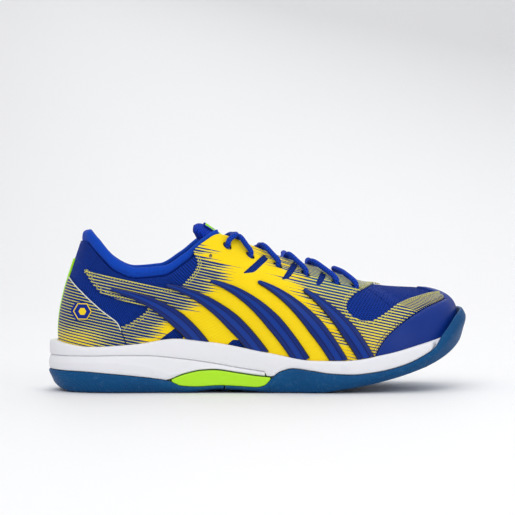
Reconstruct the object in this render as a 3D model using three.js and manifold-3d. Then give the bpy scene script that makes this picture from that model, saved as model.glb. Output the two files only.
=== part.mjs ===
// Indoor court shoe for the right foot, as an assembly of its sole, upper, tongue, sockliner and lace.
// Millimetres. +X runs from heel to toe, -Y is the outer side of the foot, +Z is up.
import * as THREE from "three";
import { mergeVertices } from "three/addons/utils/BufferGeometryUtils.js";
import Module from "manifold-3d";

const wasm = await Module();
wasm.setup();

// ---- Driving dimensions ----
const LENGTH = 300; // outsole, heel to toe
const BALL_WIDTH = 106; // outsole, across the ball of the foot
const SOLE_DEPTH = 28.5; // floor to the highest point of the footbed
const UPPER_HEIGHT = 84.4; // footbed to the top of the heel
const TREAD_FLOOR = 4; // rubber under the foot
const TREAD_WALL = 2.6; // rubber that wraps the side of the midsole
const TOE_BUMPER = 1.9; // rubber in front of the toes
const TOE_LEAN = 2.9; // how far the top of the bumper leans back from the tip
const SHANK_FLOOR = 2.4;
const SHANK_WALL = 6.5;
const LIP = 2.3; // foam rim round the foot of the upper
const BOARD = 1.2;
const SOCK_FOAM = 3.6;
const SOCK_COVER = 0.9;
const SOCK_CUP = 5; // how far the sockliner's edge turns up
const GEL_LENGTH = 46;
const GEL_WIDTH = 40;
const GEL_HEIGHT = 7;
const GLUE = 0.3; // clearance between bonded or stitched pieces
const MESH = 1; // knitted face fabric
const STIFFENER = 1.1; // heel counter, toe puff, eyestay tape, collar foam
const LINING = 1.1;
const OVERLAY = 0.8; // printed film and synthetic leather
const RIB_HEIGHT = 1.4;
const RIB_CLEAR = 0.6; // under a rib, which is stiffer than the film it sits on
const ROLL_HALF_WIDTH = 2.6; // padded roll along the collar
const ROLL_HALF_HEIGHT = 3.4;
const TONGUE_HALF_WIDTH = 21.5;
const TONGUE_THICKNESS = 8;
const TONGUE_SKIN = 1;
const TONGUE_CLEAR = 3.8; // from the eyestay down to the tongue, apart from the lace that lies between them
const LABEL_LENGTH = 17;
const LABEL_WIDTH = 24;
const LACE_RADIUS = 1.9;
const EYELET_RADIUS = 3.5;
const AGLET_LENGTH = 16;
const AGLET_RADIUS = 1.5;

// The patterns below are drafted at this base size and graded to the driving dimensions.
const BASE = { length: 300, width: 106, sole: 28.5, upper: 84.4 };
const gradeX = LENGTH / BASE.length;
const gradeY = BALL_WIDTH / BASE.width;
const gradeSole = SOLE_DEPTH / BASE.sole;
const gradeUpper = UPPER_HEIGHT / BASE.upper;

// Depths of the upper's layers below (-) or above (+) the outer face of the mesh.
const STIFFENER_TOP = -(MESH + GLUE);
const STIFFENER_BASE = STIFFENER_TOP - STIFFENER;
const LINING_TOP = STIFFENER_BASE - GLUE;
const LINING_BASE = LINING_TOP - LINING;
const OVERLAY_TOP = GLUE + OVERLAY;
const RIB_BASE = OVERLAY_TOP + RIB_CLEAR;

const LATERAL = -1;
const MEDIAL = 1;
const SIDES = { lateral: LATERAL, medial: MEDIAL };

// ---- Curves ----
// Monotone cubic through [x, y] pairs, flat beyond its ends.
function profile(points) {
  const n = points.length;
  const slope = [];
  for (let i = 0; i < n - 1; i++)
    slope.push((points[i + 1][1] - points[i][1]) / (points[i + 1][0] - points[i][0]));
  const tangent = points.map((_, i) => {
    if (i === 0 || i === n - 1) return slope[i === 0 ? 0 : n - 2];
    const a = slope[i - 1];
    const b = slope[i];
    return a * b <= 0 ? 0 : (2 * a * b) / (a + b);
  });
  return (x) => {
    if (x <= points[0][0]) return points[0][1];
    if (x >= points[n - 1][0]) return points[n - 1][1];
    let i = 0;
    while (x > points[i + 1][0]) i++;
    const h = points[i + 1][0] - points[i][0];
    const t = (x - points[i][0]) / h;
    const s = t * t * (3 - 2 * t);
    return (
      points[i][1] * (1 - s) +
      points[i + 1][1] * s +
      h * (tangent[i] * t * (1 - t) ** 2 - tangent[i + 1] * t * t * (1 - t))
    );
  };
}

function graded(points, sx, sy) {
  return profile(points.map(([x, y]) => [x * sx, y * sy]));
}

// Plan of the outsole, from the back of the heel along the outer side to the toe and back.
const OUTER_PLAN = [
  [0, 0], [10, -24], [35, -37], [75, -38.5], [120, -40], [165, -47.5],
  [200, -53], [236, -51], [264, -42.5], [286, -29], [297, -11.5],
];
const TOE_TIP = [300, 8];
const INNER_PLAN = [
  [297.5, 27], [287, 41], [266, 50], [238, 53], [210, 52.5], [180, 46.5],
  [150, 38.5], [120, 35], [75, 37], [35, 37], [10, 24],
];
const plan = new THREE.CatmullRomCurve3(
  [...OUTER_PLAN, TOE_TIP, ...INNER_PLAN].map(([x, y]) => new THREE.Vector3(x * gradeX, y * gradeY, 0)),
  true,
  "centripetal",
);
plan.arcLengthDivisions = 1200;
const PLAN_POINTS = OUTER_PLAN.length + 1 + INNER_PLAN.length;
const toeShare = (() => {
  const lengths = plan.getLengths(1200);
  return lengths[Math.round((OUTER_PLAN.length / PLAN_POINTS) * 1200)] / lengths[1200];
})();

// Share of the way round the plan for a side and a station, 0 at the heel and 1 at the toe.
function around(side, station) {
  const u = side === LATERAL ? station * toeShare : 1 - station * (1 - toeShare);
  return ((u % 1) + 1) % 1;
}

function planPoint(u, inset) {
  const p = plan.getPointAt(u);
  const t = plan.getTangentAt(u);
  return new THREE.Vector3(p.x - t.y * inset, p.y + t.x * inset, 0);
}

function outward(u) {
  const t = plan.getTangentAt(u);
  return new THREE.Vector3(t.y, -t.x, 0);
}

function stationAt(x) {
  let low = 0;
  let high = 1;
  for (let i = 0; i < 40; i++) {
    const mid = (low + high) / 2;
    if (planPoint(around(LATERAL, mid), 0).x < x * gradeX) low = mid;
    else high = mid;
  }
  return (low + high) / 2;
}

// ---- Side lines of the sole: height above the floor along the length ----
const soleLine = (points) => graded(points, gradeX, gradeSole);
const treadLine = soleLine([
  [0, 12], [3.7, 5.2], [10, 1.6], [19, 0], [95, 0], [119, 2.3], [140, 1.4], [158, 0], [187, 0],
  [207, 2.5], [226, 6], [247, 11.2], [266, 17.4], [278, 22.8], [287, 28.4], [295, 35], [300, 43],
]);
const rubberLine = soleLine([
  [0, 15.2], [23, 14.8], [40, 13.6], [57, 12], [74, 10], [84, 8.4], [93, 4.9], [103, 4.4], [120, 5.2],
  [132, 4.7], [145, 4.1], [150, 5.2], [155.5, 10.5], [161.5, 15], [170, 17.1], [182, 15.6], [195, 13.6],
  [211, 12.8], [226, 14.2], [247, 18.8], [264, 26], [272, 31.5], [277, 39], [282, 44.5], [287.5, 51],
  [292, 54.7], [297, 57.5], [300, 57.5],
]);
const shankLine = soleLine([
  [84, 8.8], [94.5, 12.9], [107, 15.6], [115, 16], [132, 13.8], [144.5, 12], [155.5, 10.9],
]);
const grooveLine = soleLine([
  [0, 25.7], [28, 26.1], [49, 26.5], [70, 26.3], [90, 24.5], [111, 21.7], [132, 18], [153, 14.9],
]);
const bedLine = soleLine([
  [0, 26], [28, 25.5], [60, 26.5], [90, 28.5], [115, 27], [153, 20.5], [186, 16], [205, 16],
  [236, 20.5], [257, 26], [278, 32.5], [287, 36.8], [300, 41.5],
]);
const lipHeight = graded(
  [[0, 12], [17, 8], [28, 6.8], [60, 7.6], [90, 9.5], [115, 8.4], [153, 7.8], [186, 6.8], [236, 6.6], [262, 6],
    [278, 5.2], [300, 3]],
  gradeX,
  1,
);
const SHANK_START = stationAt(86);
const SHANK_END = stationAt(154);
const TREAD_SPLIT = stationAt(122.5);
const WEDGE_END = stationAt(150);
const VAMP_START = stationAt(259);
const TOE_START = stationAt(268);
const SEAM = 0.0006; // half the gap at a butted seam, in stations
const FLEX_GAP = 0.0015; // half the flex groove between the two treads, in stations
const TREAD_BEVEL = 7; // how far the tread's bottom edge sits inside its widest line
const SHANK_INSET = 0.9;
const FOAM_INSET = 0.9;

// Stations shared by every piece, so that faces of neighbouring layers stay parallel.
const stations = [
  0, 0.016, 0.045, 0.08, stationAt(30), stationAt(44), stationAt(60), stationAt(80),
  SHANK_START, stationAt(104), TREAD_SPLIT, stationAt(136), WEDGE_END, SHANK_END,
  stationAt(160), stationAt(180), stationAt(200), stationAt(219), stationAt(236), stationAt(248),
  VAMP_START, TOE_START, stationAt(275), stationAt(285), 0.955, 0.982, 1,
];
const between = (low, high) => [
  low,
  ...stations.filter((s) => s > low + 0.004 && s < high - 0.004),
  high,
];

// ---- Mesh building ----
// A four-sided face as two triangles, split along its shorter diagonal.
const quads = (a, b, c, d) =>
  a.distanceToSquared(c) <= b.distanceToSquared(d) ? [a, b, c, a, c, d] : [a, b, d, b, c, d];

// Closed geometry from triangles given as points: welds them, drops empty ones and turns it outward.
function closed(triangles) {
  const points = [];
  const index = [];
  const seen = new Map();
  const id = (p) => {
    const key = [p.x, p.y, p.z].map((c) => Math.round(c * 500)).join();
    if (!seen.has(key)) {
      seen.set(key, points.length);
      points.push(p);
    }
    return seen.get(key);
  };
  for (let i = 0; i < triangles.length; i += 3) {
    const t = [id(triangles[i]), id(triangles[i + 1]), id(triangles[i + 2])];
    if (t[0] !== t[1] && t[1] !== t[2] && t[0] !== t[2]) index.push(t);
  }
  const volume = index.reduce(
    (sum, [a, b, c]) => sum + points[a].dot(new THREE.Vector3().crossVectors(points[b], points[c])),
    0,
  );
  const geometry = new THREE.BufferGeometry();
  geometry.setAttribute("position", new THREE.Float32BufferAttribute(points.flatMap((p) => p.toArray()), 3));
  geometry.setIndex((volume < 0 ? index.map(([a, b, c]) => [a, c, b]) : index).flat());
  return geometry;
}

// Triangles over a section, left out where the section has closed up on itself.
function capOf(section, flip) {
  const area = section.reduce(
    (sum, p, i) => sum.add(new THREE.Vector3().crossVectors(p, section[(i + 1) % section.length])),
    new THREE.Vector3(),
  );
  if (area.length() < 0.2) return [];
  const n = area.normalize();
  const e1 = (Math.abs(n.z) < 0.9 ? new THREE.Vector3(0, 0, 1) : new THREE.Vector3(1, 0, 0)).cross(n);
  e1.normalize();
  const e2 = new THREE.Vector3().crossVectors(n, e1);
  const flat = section.map((p) => new THREE.Vector2(p.dot(e1), p.dot(e2)));
  return THREE.ShapeUtils.triangulateShape(flat, [])
    .map(([a, b, c]) => (flip ? [section[a], section[c], section[b]] : [section[a], section[b], section[c]]))
    .flat();
}

// Solid through closed sections that all have the same number of points.
function loft(sections) {
  const triangles = [];
  for (let k = 0; k < sections.length - 1; k++) {
    const a = sections[k];
    const b = sections[k + 1];
    a.forEach((_, i) => {
      const j = (i + 1) % a.length;
      triangles.push(...quads(a[i], a[j], b[j], b[i]));
    });
  }
  triangles.push(...capOf(sections[0], true), ...capOf(sections[sections.length - 1], false));
  return closed(triangles);
}

// Thin solid between two depths. Each row holds functions from a depth to a point, and a row or column end
// that folds onto itself is closed without a wall.
function shell(rows, depthIn, depthOut) {
  const inner = rows.map((row) => row.map((at) => at(depthIn)));
  const outer = rows.map((row) => row.map((at) => at(depthOut)));
  const triangles = [];
  for (let r = 0; r < rows.length - 1; r++)
    for (let c = 0; c < rows[r].length - 1; c++) {
      const face = (grid) => [grid[r][c], grid[r][c + 1], grid[r + 1][c + 1], grid[r + 1][c]];
      const [a, b, d, e] = face(outer);
      triangles.push(a, b, d, a, d, e);
      const [f, g, h, i] = face(inner);
      triangles.push(f, h, g, f, i, h);
    }
  const wall = (o, i) => {
    for (let k = 0; k < o.length - 1; k++) triangles.push(...quads(o[k + 1], o[k], i[k], i[k + 1]));
  };
  const folded = (row) => row.every((p, k) => p.distanceTo(row[row.length - 1 - k]) < 1e-3);
  const column = (grid, c) => grid.map((row) => row[c]);
  const last = rows.length - 1;
  const end = rows[0].length - 1;
  if (!folded(outer[0])) wall(outer[0], inner[0]);
  if (!folded(outer[last])) wall([...outer[last]].reverse(), [...inner[last]].reverse());
  wall(column(outer, end), column(inner, end));
  wall(column(outer, 0).reverse(), column(inner, 0).reverse());
  return closed(triangles);
}

function toManifold(geometry) {
  const bare = geometry.index ? geometry.toNonIndexed() : geometry.clone();
  for (const name of Object.keys(bare.attributes)) if (name !== "position") bare.deleteAttribute(name);
  const merged = mergeVertices(bare, 1e-3);
  return new wasm.Manifold(
    new wasm.Mesh({
      numProp: 3,
      vertProperties: merged.attributes.position.array,
      triVerts: new Uint32Array(merged.index.array),
    }),
  );
}

// The largest body of a solid as a geometry, without the slivers that a cut can leave.
function fromManifold(solid) {
  const body = solid.decompose().sort((a, b) => b.volume() - a.volume())[0];
  const mesh = body.simplify(0.02).getMesh();
  const geometry = new THREE.BufferGeometry();
  geometry.setAttribute("position", new THREE.BufferAttribute(new Float32Array(mesh.vertProperties), 3));
  geometry.setIndex(new THREE.BufferAttribute(new Uint32Array(mesh.triVerts), 1));
  return geometry;
}

// ---- Sole ----
// A line of the half section: a fixed or varying inset from the plan at a height that follows the length.
const line = (inset, height) => (u, station) => {
  const p = planPoint(u, typeof inset === "function" ? inset(station) : inset);
  return p.setZ(height(p.x, station));
};

// Solid with the same half section on both sides, given as lines from the bottom inner one out and up.
const sole = (low, high, lines) =>
  loft(
    between(low, high).map((station) => [
      ...lines.map((at) => at(around(LATERAL, station), station)),
      ...lines.map((at) => at(around(MEDIAL, station), station)).reverse(),
    ]),
  );

const floorTop = (x) => Math.min(treadLine(x) + TREAD_FLOOR, rubberLine(x));
const wallShare = (share) => (x) => treadLine(x) + share * (rubberLine(x) - treadLine(x));
const atToe = profile([[0, 0], [stationAt(264), 0], [stationAt(290), 1], [1, 1]]);
const topInset = (station) => 0.5 + (TOE_LEAN - 0.5) * atToe(station);
const rubberWall = (station) => TREAD_WALL + (TOE_BUMPER - TREAD_WALL) * atToe(station);
const insideWall = (station) => topInset(station) + rubberWall(station);

function treadPiece(low, high) {
  return sole(low, high, [
    line(TREAD_BEVEL, treadLine),
    line(2.2, wallShare(0.28)),
    line(0.2, wallShare(0.62)),
    line(topInset, rubberLine),
    line(insideWall, rubberLine),
    line((s) => Math.max(insideWall(s), TREAD_WALL + 1), floorTop),
  ]);
}

// What the foam rests on: the tread's floor, or the shank's floor where there is a shank.
const shankBottom = (x) => floorTop(x) + GLUE;
const overShank = graded([[0, 0], [79, 0], [83, 1], [157, 1], [161, 0], [300, 0]], gradeX, SHANK_FLOOR + GLUE);
const foamBottom = (x) => floorTop(x) + GLUE + 0.1 + overShank(x);
const foamEdge = (x) => {
  const inShank = x > 82 * gradeX && x < 158 * gradeX;
  return Math.max(inShank ? shankLine(x) + 0.6 : 0, rubberLine(x) + 0.2, foamBottom(x)) + GLUE;
};
const shankEdge = (x) => Math.max(rubberLine(x), floorTop(x)) + GLUE;
const shankTop = (x) => Math.max(shankLine(x), shankEdge(x) + 0.8);

function shankPiece() {
  const inner = SHANK_INSET + SHANK_WALL;
  return sole(SHANK_START, SHANK_END, [
    line(TREAD_WALL + 3, shankBottom),
    line(TREAD_WALL + 2.4, (x) => Math.max(shankEdge(x), shankBottom(x))),
    line(SHANK_INSET, shankEdge),
    line(SHANK_INSET, shankTop),
    line(inner, shankTop),
    line(inner, (x) => Math.min(shankBottom(x) + SHANK_FLOOR, shankTop(x) - 0.2)),
  ]);
}

// The foam sits inside the rubber and the shank, and steps out over them up to the toe, which rubber covers.
const atShank = profile([
  [0, 0], [stationAt(80), 0], [SHANK_START, 1], [SHANK_END, 1], [stationAt(160), 0], [1, 0],
]);
const insideShank = SHANK_INSET + SHANK_WALL + GLUE;
const shankStep = insideShank - insideWall(0.5);
const insideRubber = (s) => insideWall(s) + GLUE + 0.2 + 0.7 * (1 - atToe(s)) + shankStep * atShank(s);
const behindBumper = profile([[0, 0], [TOE_START, 0], [stationAt(275), 1], [1, 1]]);
const foamInset = (s) => FOAM_INSET + (insideWall(1) + GLUE + 0.2 - FOAM_INSET) * behindBumper(s);
const lipTop = (x) => bedLine(x) + lipHeight(x);
const foamFoot = (x) => Math.min(foamEdge(x), lipTop(x) - 0.6);

// The wedge's top dips towards the middle of the heel, and levels out at its thin front end.
const WEDGE_BOWL = 8;
const WEDGE_EDGE = FOAM_INSET + 0.6;
const BOWL_EDGE = FOAM_INSET + 12;
const overWedge = graded([[0, 1], [80, 1], [150, 0.25]], gradeX, 1);
const wedgeTop = (x) => grooveLine(x) - GLUE;
const wedgeBowl = (x) => wedgeTop(x) - WEDGE_BOWL * overWedge(x);
const onWedge = (station) => station <= WEDGE_END + 1e-6;

function wedgePiece() {
  return sole(0, WEDGE_END, [
    line((s) => insideRubber(s) + 1, foamBottom),
    line(insideRubber, foamEdge),
    line(FOAM_INSET, foamEdge),
    line(FOAM_INSET - 0.5, (x) => (foamEdge(x) + wedgeTop(x)) / 2),
    line(WEDGE_EDGE, wedgeTop),
    line(BOWL_EDGE, wedgeBowl),
  ]);
}

// Foot of the upper: how far its outer face sits inside the plan.
const FOOT_INSET = FOAM_INSET + LIP + GLUE + OVERLAY_TOP + 0.6;
const footInset = profile([
  [0, FOOT_INSET + 4], [0.12, FOOT_INSET + 1], [0.3, FOOT_INSET], [0.75, FOOT_INSET], [0.83, FOOT_INSET + 2.2],
  [0.92, FOOT_INSET + 4], [1, FOOT_INSET + 4],
]);
const FOOT_LIFT = 0.8; // the turned-in edge of the upper under its foot
const footLine = (x) => bedLine(x) + FOOT_LIFT;

// Point of the upper's skin at a height, near its foot.
function skinAt(u, height, depth) {
  let low = 0;
  let high = 0.5;
  for (let i = 0; i < 20; i++) {
    const mid = (low + high) / 2;
    if (skin(u, mid, depth).z < height) low = mid;
    else high = mid;
  }
  return skin(u, (low + high) / 2, depth);
}

// The carrier's rim stands against the outside of the upper.
const AGAINST = OVERLAY_TOP + GLUE + 0.2;
const rim = (share) => (u) => {
  const foot = skin(u, 0, AGAINST);
  const height = foot.z + share * (lipTop(foot.x) - foot.z);
  return skinAt(u, height, AGAINST);
};

function carrierPiece() {
  const edgeHeight = (x, s) => (onWedge(s) ? grooveLine(x) : foamFoot(x));
  const innerInset = (s) => (onWedge(s) ? BOWL_EDGE : insideRubber(s) + 1);
  const innerHeight = (x, s) => (onWedge(s) ? wedgeBowl(x) + GLUE : foamBottom(x));
  return sole(0, 1, [
    line(innerInset, innerHeight),
    line((s) => (onWedge(s) ? WEDGE_EDGE : insideRubber(s)), edgeHeight),
    line(foamInset, edgeHeight),
    (u, s) => planPoint(u, foamInset(s) + 0.4).setZ(rim(1)(u).z),
    rim(1),
    rim(0.5),
    (u) => {
      const foot = skin(u, 0, AGAINST);
      return foot.setZ(bedLine(foot.x));
    },
  ]);
}

const gelX = 42 * gradeX;
const gelBottom = wedgeBowl(gelX) - 0.6 - GEL_HEIGHT;
function roundedBlock(length, width, height, radius) {
  const s = new THREE.Shape();
  const a = length / 2;
  const b = width / 2;
  s.moveTo(-a + radius, -b);
  s.lineTo(a - radius, -b);
  s.absarc(a - radius, -b + radius, radius, -Math.PI / 2, 0);
  s.absarc(a - radius, b - radius, radius, 0, Math.PI / 2);
  s.absarc(-a + radius, b - radius, radius, Math.PI / 2, Math.PI);
  s.absarc(-a + radius, -b + radius, radius, Math.PI, 1.5 * Math.PI);
  return new THREE.ExtrudeGeometry(s, { depth: height, bevelEnabled: false, curveSegments: 4 });
}

const GEL_CORNER = 9;
const gelPocket = () =>
  roundedBlock(GEL_LENGTH + 2 * GLUE, GEL_WIDTH + 2 * GLUE, SOLE_DEPTH, GEL_CORNER + GLUE).translate(
    gelX,
    0,
    gelBottom - GLUE,
  );
const gelBlock = () => roundedBlock(GEL_LENGTH, GEL_WIDTH, GEL_HEIGHT, GEL_CORNER).translate(gelX, 0, gelBottom);

const boardInset = (s) => footInset(s) - LINING_BASE + GLUE;
const boardBottom = (x) => bedLine(x) + GLUE;
const lastingBoard = () =>
  sole(0, 1, [line(boardInset, boardBottom), line(boardInset, (x) => boardBottom(x) + BOARD)]);
const sockInset = (s) => boardInset(s) + 1.2;
const sockBottom = (x) => boardBottom(x) + BOARD + GLUE;
const sockTop = (x) => sockBottom(x) + SOCK_FOAM;
const coverBottom = (x) => sockTop(x) + GLUE + 0.15;
const cupRise = profile([[0, 1], [0.5, 1], [0.72, 0.1], [1, 0]]);

const sockFoam = () =>
  sole(0, 1, [
    line(sockInset, sockBottom),
    line(sockInset, (x, s) => sockTop(x) + SOCK_CUP * cupRise(s)),
    line((s) => sockInset(s) + 1.4, (x, s) => sockTop(x) + SOCK_CUP * cupRise(s)),
    line((s) => sockInset(s) + 4.5, sockTop),
  ]);

const sockCover = () =>
  sole(0, 1, [
    line((s) => sockInset(s) + 4.8, coverBottom),
    line((s) => sockInset(s) + 1.8, (x, s) => coverBottom(x) + (SOCK_CUP + 0.2) * cupRise(s)),
    line((s) => sockInset(s) + 2.4, (x, s) => coverBottom(x) + (SOCK_CUP + 0.2) * cupRise(s) + SOCK_COVER),
    line((s) => sockInset(s) + 5.2, (x) => coverBottom(x) + SOCK_COVER),
  ]);

// ---- Upper surface ----
// Top edge of the upper by station: along the collar, up the eyestay and down the instep ridge to the toe.
// Each row is [station, x, half width, height above the footbed].
const CREST = [
  [0, 24, 0, 84.4], [0.08, 27, 17, 84], [0.16, 36, 27, 73.2], [0.22, 47, 31, 62.3],
  [0.28, 62, 33.5, 56.8], [0.35, 80, 34, 57.1], [0.41, 95, 32.5, 65.6], [0.46, 108, 29.5, 77],
  [0.5, 120, 25, 84], [0.56, 137, 20, 81.2], [0.62, 157, 16.5, 76.7], [0.69, 180, 14, 72.6],
  [0.76, 203, 11, 66], [0.81, 217, 6, 60.4], [0.84, 225, 0, 57], [0.9, 240, 0, 52.1],
  [0.95, 251, 0, 48.5], [1, 262, 0, 44.7],
];
const THROAT_TOP = 0.5;
const crestX = profile(CREST.map((r) => [r[0], r[1] * gradeX]));
const crestHalf = profile(CREST.map((r) => [r[0], r[2] * gradeY]));
const crestHeight = profile(CREST.map((r) => [r[0], r[3] * gradeUpper]));
const spine = graded([[0, 0], [150, 0], [225, 3], [262, 6.5], [300, 9]], gradeX, gradeY);

function crest(side, station) {
  const x = crestX(station);
  return new THREE.Vector3(x, spine(x) + side * crestHalf(station), bedLine(x) + crestHeight(station));
}

// Handles of each section from foot to crest: rise and bulge at the foot, reach and fall at the crest.
const HANDLES = [
  [0, 30, 6.5, 7, 25], [0.12, 27, 5, 6, 22], [0.3, 20, 3, 3, 18], [0.4, 27, 3, 4, 20], [0.5, 35, 2, 9, 17],
  [0.6, 34, 1, 14, 10], [0.7, 30, 0, 18, 5], [0.8, 28, 0, 20, 2], [0.84, 27, 0.5, 21, 1], [0.9, 24, 3, 24, 1.6],
  [0.95, 21, 5.6, 28, 2.2], [1, 20, 6.8, 31, 2.6],
];
const handle = (column, scale) => profile(HANDLES.map((r) => [r[0], r[column] * scale]));
const footRise = handle(1, gradeUpper);
const footBulge = handle(2, 1);
const crestReach = handle(3, gradeY);
const crestFall = handle(4, gradeUpper);

// Point of the mesh's outer face at a share u round the plan and v from foot (0) to crest (1).
function surface(u, v) {
  const side = u <= toeShare ? LATERAL : MEDIAL;
  const station = side === LATERAL ? u / toeShare : (1 - u) / (1 - toeShare);
  const out = outward(u);
  const foot = planPoint(u, footInset(station));
  foot.z = footLine(foot.x);
  const top = crest(side, station);
  const low = foot.clone().addScaledVector(out, footBulge(station));
  low.z += footRise(station);
  const high = top.clone().addScaledVector(out, crestReach(station));
  high.z -= crestFall(station);
  const w = 1 - v;
  return foot
    .multiplyScalar(w ** 3)
    .addScaledVector(low, 3 * w * w * v)
    .addScaledVector(high, 3 * w * v * v)
    .addScaledVector(top, v ** 3);
}

const wrap = (u) => ((u % 1) + 1) % 1;
function normal(u, v) {
  const c = Math.min(Math.max(v, 0.02), 0.97);
  const along = surface(wrap(u + 0.004), c).sub(surface(wrap(u - 0.004), c));
  const up = surface(u, c + 0.02).sub(surface(u, c - 0.02));
  return along.cross(up).normalize();
}

function skin(u, v, depth) {
  return surface(wrap(u), v).addScaledVector(normal(wrap(u), v), depth);
}

// The same across the ridge: w runs from -1 at the outer foot through 0 at the crest to 1 at the inner foot.
function across(station, w, depth) {
  const at = (side) => skin(around(side, station), 1 - Math.abs(w), depth);
  return Math.abs(w) < 1e-9 ? at(LATERAL).add(at(MEDIAL)).multiplyScalar(0.5) : at(w < 0 ? LATERAL : MEDIAL);
}

const RISES = [0, 0.12, 0.27, 0.44, 0.62, 0.78, 0.9, 1];
const risesTo = (low, high) => [low, ...RISES.filter((v) => v > low + 0.01 && v < high - 0.01), high];

// Layer between two depths along one side.
const sideLayer = (side, low, high, bottom, top, depthIn, depthOut) =>
  shell(
    (side === LATERAL ? between(low, high) : between(low, high).reverse()).map((station) =>
      risesTo(bottom, 1).map((rise) => {
        const v = Math.min(rise, typeof top === "function" ? top(station) : top);
        return (depth) => skin(around(side, station), v, depth);
      }),
    ),
    depthIn,
    depthOut,
  );

// Layer that passes round the heel (centre 0) or the toe (centre 1), out to a station on each side.
function endLayer(centre, until, bottom, top, depthIn, depthOut) {
  const list = centre === 0 ? between(0, until).reverse() : between(until, 1);
  const [first, second] = centre === 0 ? [MEDIAL, LATERAL] : [LATERAL, MEDIAL];
  const back = list.slice(0, -1).reverse();
  const loop = [...list.map((s) => around(first, s)), ...back.map((s) => around(second, s))];
  return shell(
    loop.map((u) => risesTo(bottom, top).map((v) => (depth) => skin(u, v, depth))),
    depthIn,
    depthOut,
  );
}

// Layer over the forefoot, from foot to foot across the ridge.
function vampLayer(low, depthIn, depthOut) {
  const ws = [...RISES.map((v) => v - 1), ...RISES.slice(0, -1).reverse().map((v) => 1 - v)];
  return shell(
    between(low, 1).map((station) => ws.map((w) => (depth) => across(station, w, depth))),
    depthIn,
    depthOut,
  );
}

// ---- Pattern pieces, drawn on the side view at base size: x from the heel, z from the floor ----
const BASE_TOP = 110;
const topHeight = bedLine(24 * gradeX) + UPPER_HEIGHT;
const gradePattern = ([x, z]) => [x * gradeX, (z * topHeight) / BASE_TOP];

function prism(points, side) {
  const outline = points.map(gradePattern).map(([x, z]) => new THREE.Vector2(x, z));
  const depth = BALL_WIDTH;
  const geometry = new THREE.ExtrudeGeometry(new THREE.Shape(outline), { depth, bevelEnabled: false });
  geometry.rotateX(Math.PI / 2);
  geometry.translate(0, side === 0 ? depth / 2 : side === LATERAL ? 0 : depth, 0);
  return toManifold(geometry);
}

const TOE_SEAM = [
  [227, 5], [227, 24.4], [230, 30.2], [235.2, 37.4], [242.1, 43.6], [252.6, 50.6], [267, 57.8], [285, 63.4],
];
const SIDE_PANEL = [
  [25, 86.8], [45.5, 80.6], [71.6, 75.4], [87, 73], [92.4, 74.1], [101.3, 83.8], [104.7, 90], [101, 99],
  [112, 122], [200, 110], [240, 84], [235.6, 74.9], [227, 73.3], [216.2, 69.5], [209.7, 64.4], [207.5, 59.3],
  [210.4, 54.3], [217.6, 50.1], [225.5, 49.5], [234.2, 54], [245, 60.7], [255.7, 64.4], [270, 67.4],
  [281, 68.4], ...TOE_SEAM.map(([x, z]) => [x - 0.6, z + 0.6]).reverse(), [60, 20],
  [50, 47], [55.9, 48.2], [67.3, 56.2], [70.3, 59.3], [54.2, 63.8], [37.6, 68.7], [30.6, 76.4],
];
const LACE_SLOTS = [
  [[135.4, 83], [143.7, 83.6], [155, 93], [151, 95.8]],
  [[162.7, 78.2], [168.4, 79.1], [176.3, 88.2], [172.3, 90.6]],
  [[187, 74.8], [190.7, 74.1], [196.2, 81.4], [192.2, 83.6]],
];
const SOLE_WINDOWS = [
  [[76, 30], [77.5, 37.2], [91.7, 47.9], [97.8, 48.1], [100.4, 46.7], [93.4, 38], [92, 30]],
  [[122, 24], [123, 31.6], [128.8, 37.5], [136.3, 36.4], [138.3, 34.8], [135.4, 28.5], [134, 22]],
];
const HEEL_PANEL = [
  [-5, 90], [14, 81.6], [19.4, 74.8], [28.1, 66], [38.5, 56.6], [49.4, 48.6], [49.4, 15], [-5, 15],
];
const TOE_CAP = [...TOE_SEAM, [289, 80], [320, 80], [320, 5]];

const EYELETS = [
  [125.2, 102.2], [141.4, 95.4], [161, 88.4], [180.6, 82.2], [202.1, 76], [216, 73],
];
const SPARE_EYELET = [113.3, 95.3];

// Station and rise of the point of one side that shows at x, z in the side view.
function locate(x, z) {
  const [tx, tz] = gradePattern([x, z]);
  let best = { error: Infinity, station: 0.5, rise: 0.5 };
  let step = 0.02;
  const tryAt = (station, rise) => {
    if (station < 0 || station > 1 || rise < 0 || rise > 1) return;
    const p = surface(around(LATERAL, station), rise);
    const error = (p.x - tx) ** 2 + (p.z - tz) ** 2;
    if (error < best.error) best = { error, station, rise };
  };
  for (let s = 0; s <= 1; s += step) for (let v = 0; v <= 1; v += step) tryAt(s, v);
  for (; step > 2e-4; step /= 2) {
    const { station, rise } = best;
    for (const i of [-1, 0, 1]) for (const j of [-1, 0, 1]) tryAt(station + i * step, rise + j * step);
  }
  return best;
}
const eyelets = EYELETS.map(([x, z]) => locate(x, z));
const spareEyelet = locate(...SPARE_EYELET);

function eyeletDrills(side) {
  return [...eyelets, spareEyelet].map(({ station, rise }, i) => {
    const u = around(side, station);
    const radius = i < eyelets.length ? EYELET_RADIUS : 1.4;
    const drill = new THREE.CylinderGeometry(radius, radius, 16, i < eyelets.length ? 8 : 5);
    const turn = new THREE.Quaternion().setFromUnitVectors(new THREE.Vector3(0, 1, 0), normal(u, rise));
    const at = skin(u, rise, -2);
    drill.applyQuaternion(turn).translate(at.x, at.y, at.z);
    return toManifold(drill);
  });
}
const drills = { lateral: eyeletDrills(LATERAL), medial: eyeletDrills(MEDIAL) };

function drilled(geometry, name) {
  return fromManifold(drills[name].reduce((solid, drill) => solid.subtract(drill), toManifold(geometry)));
}

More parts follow.
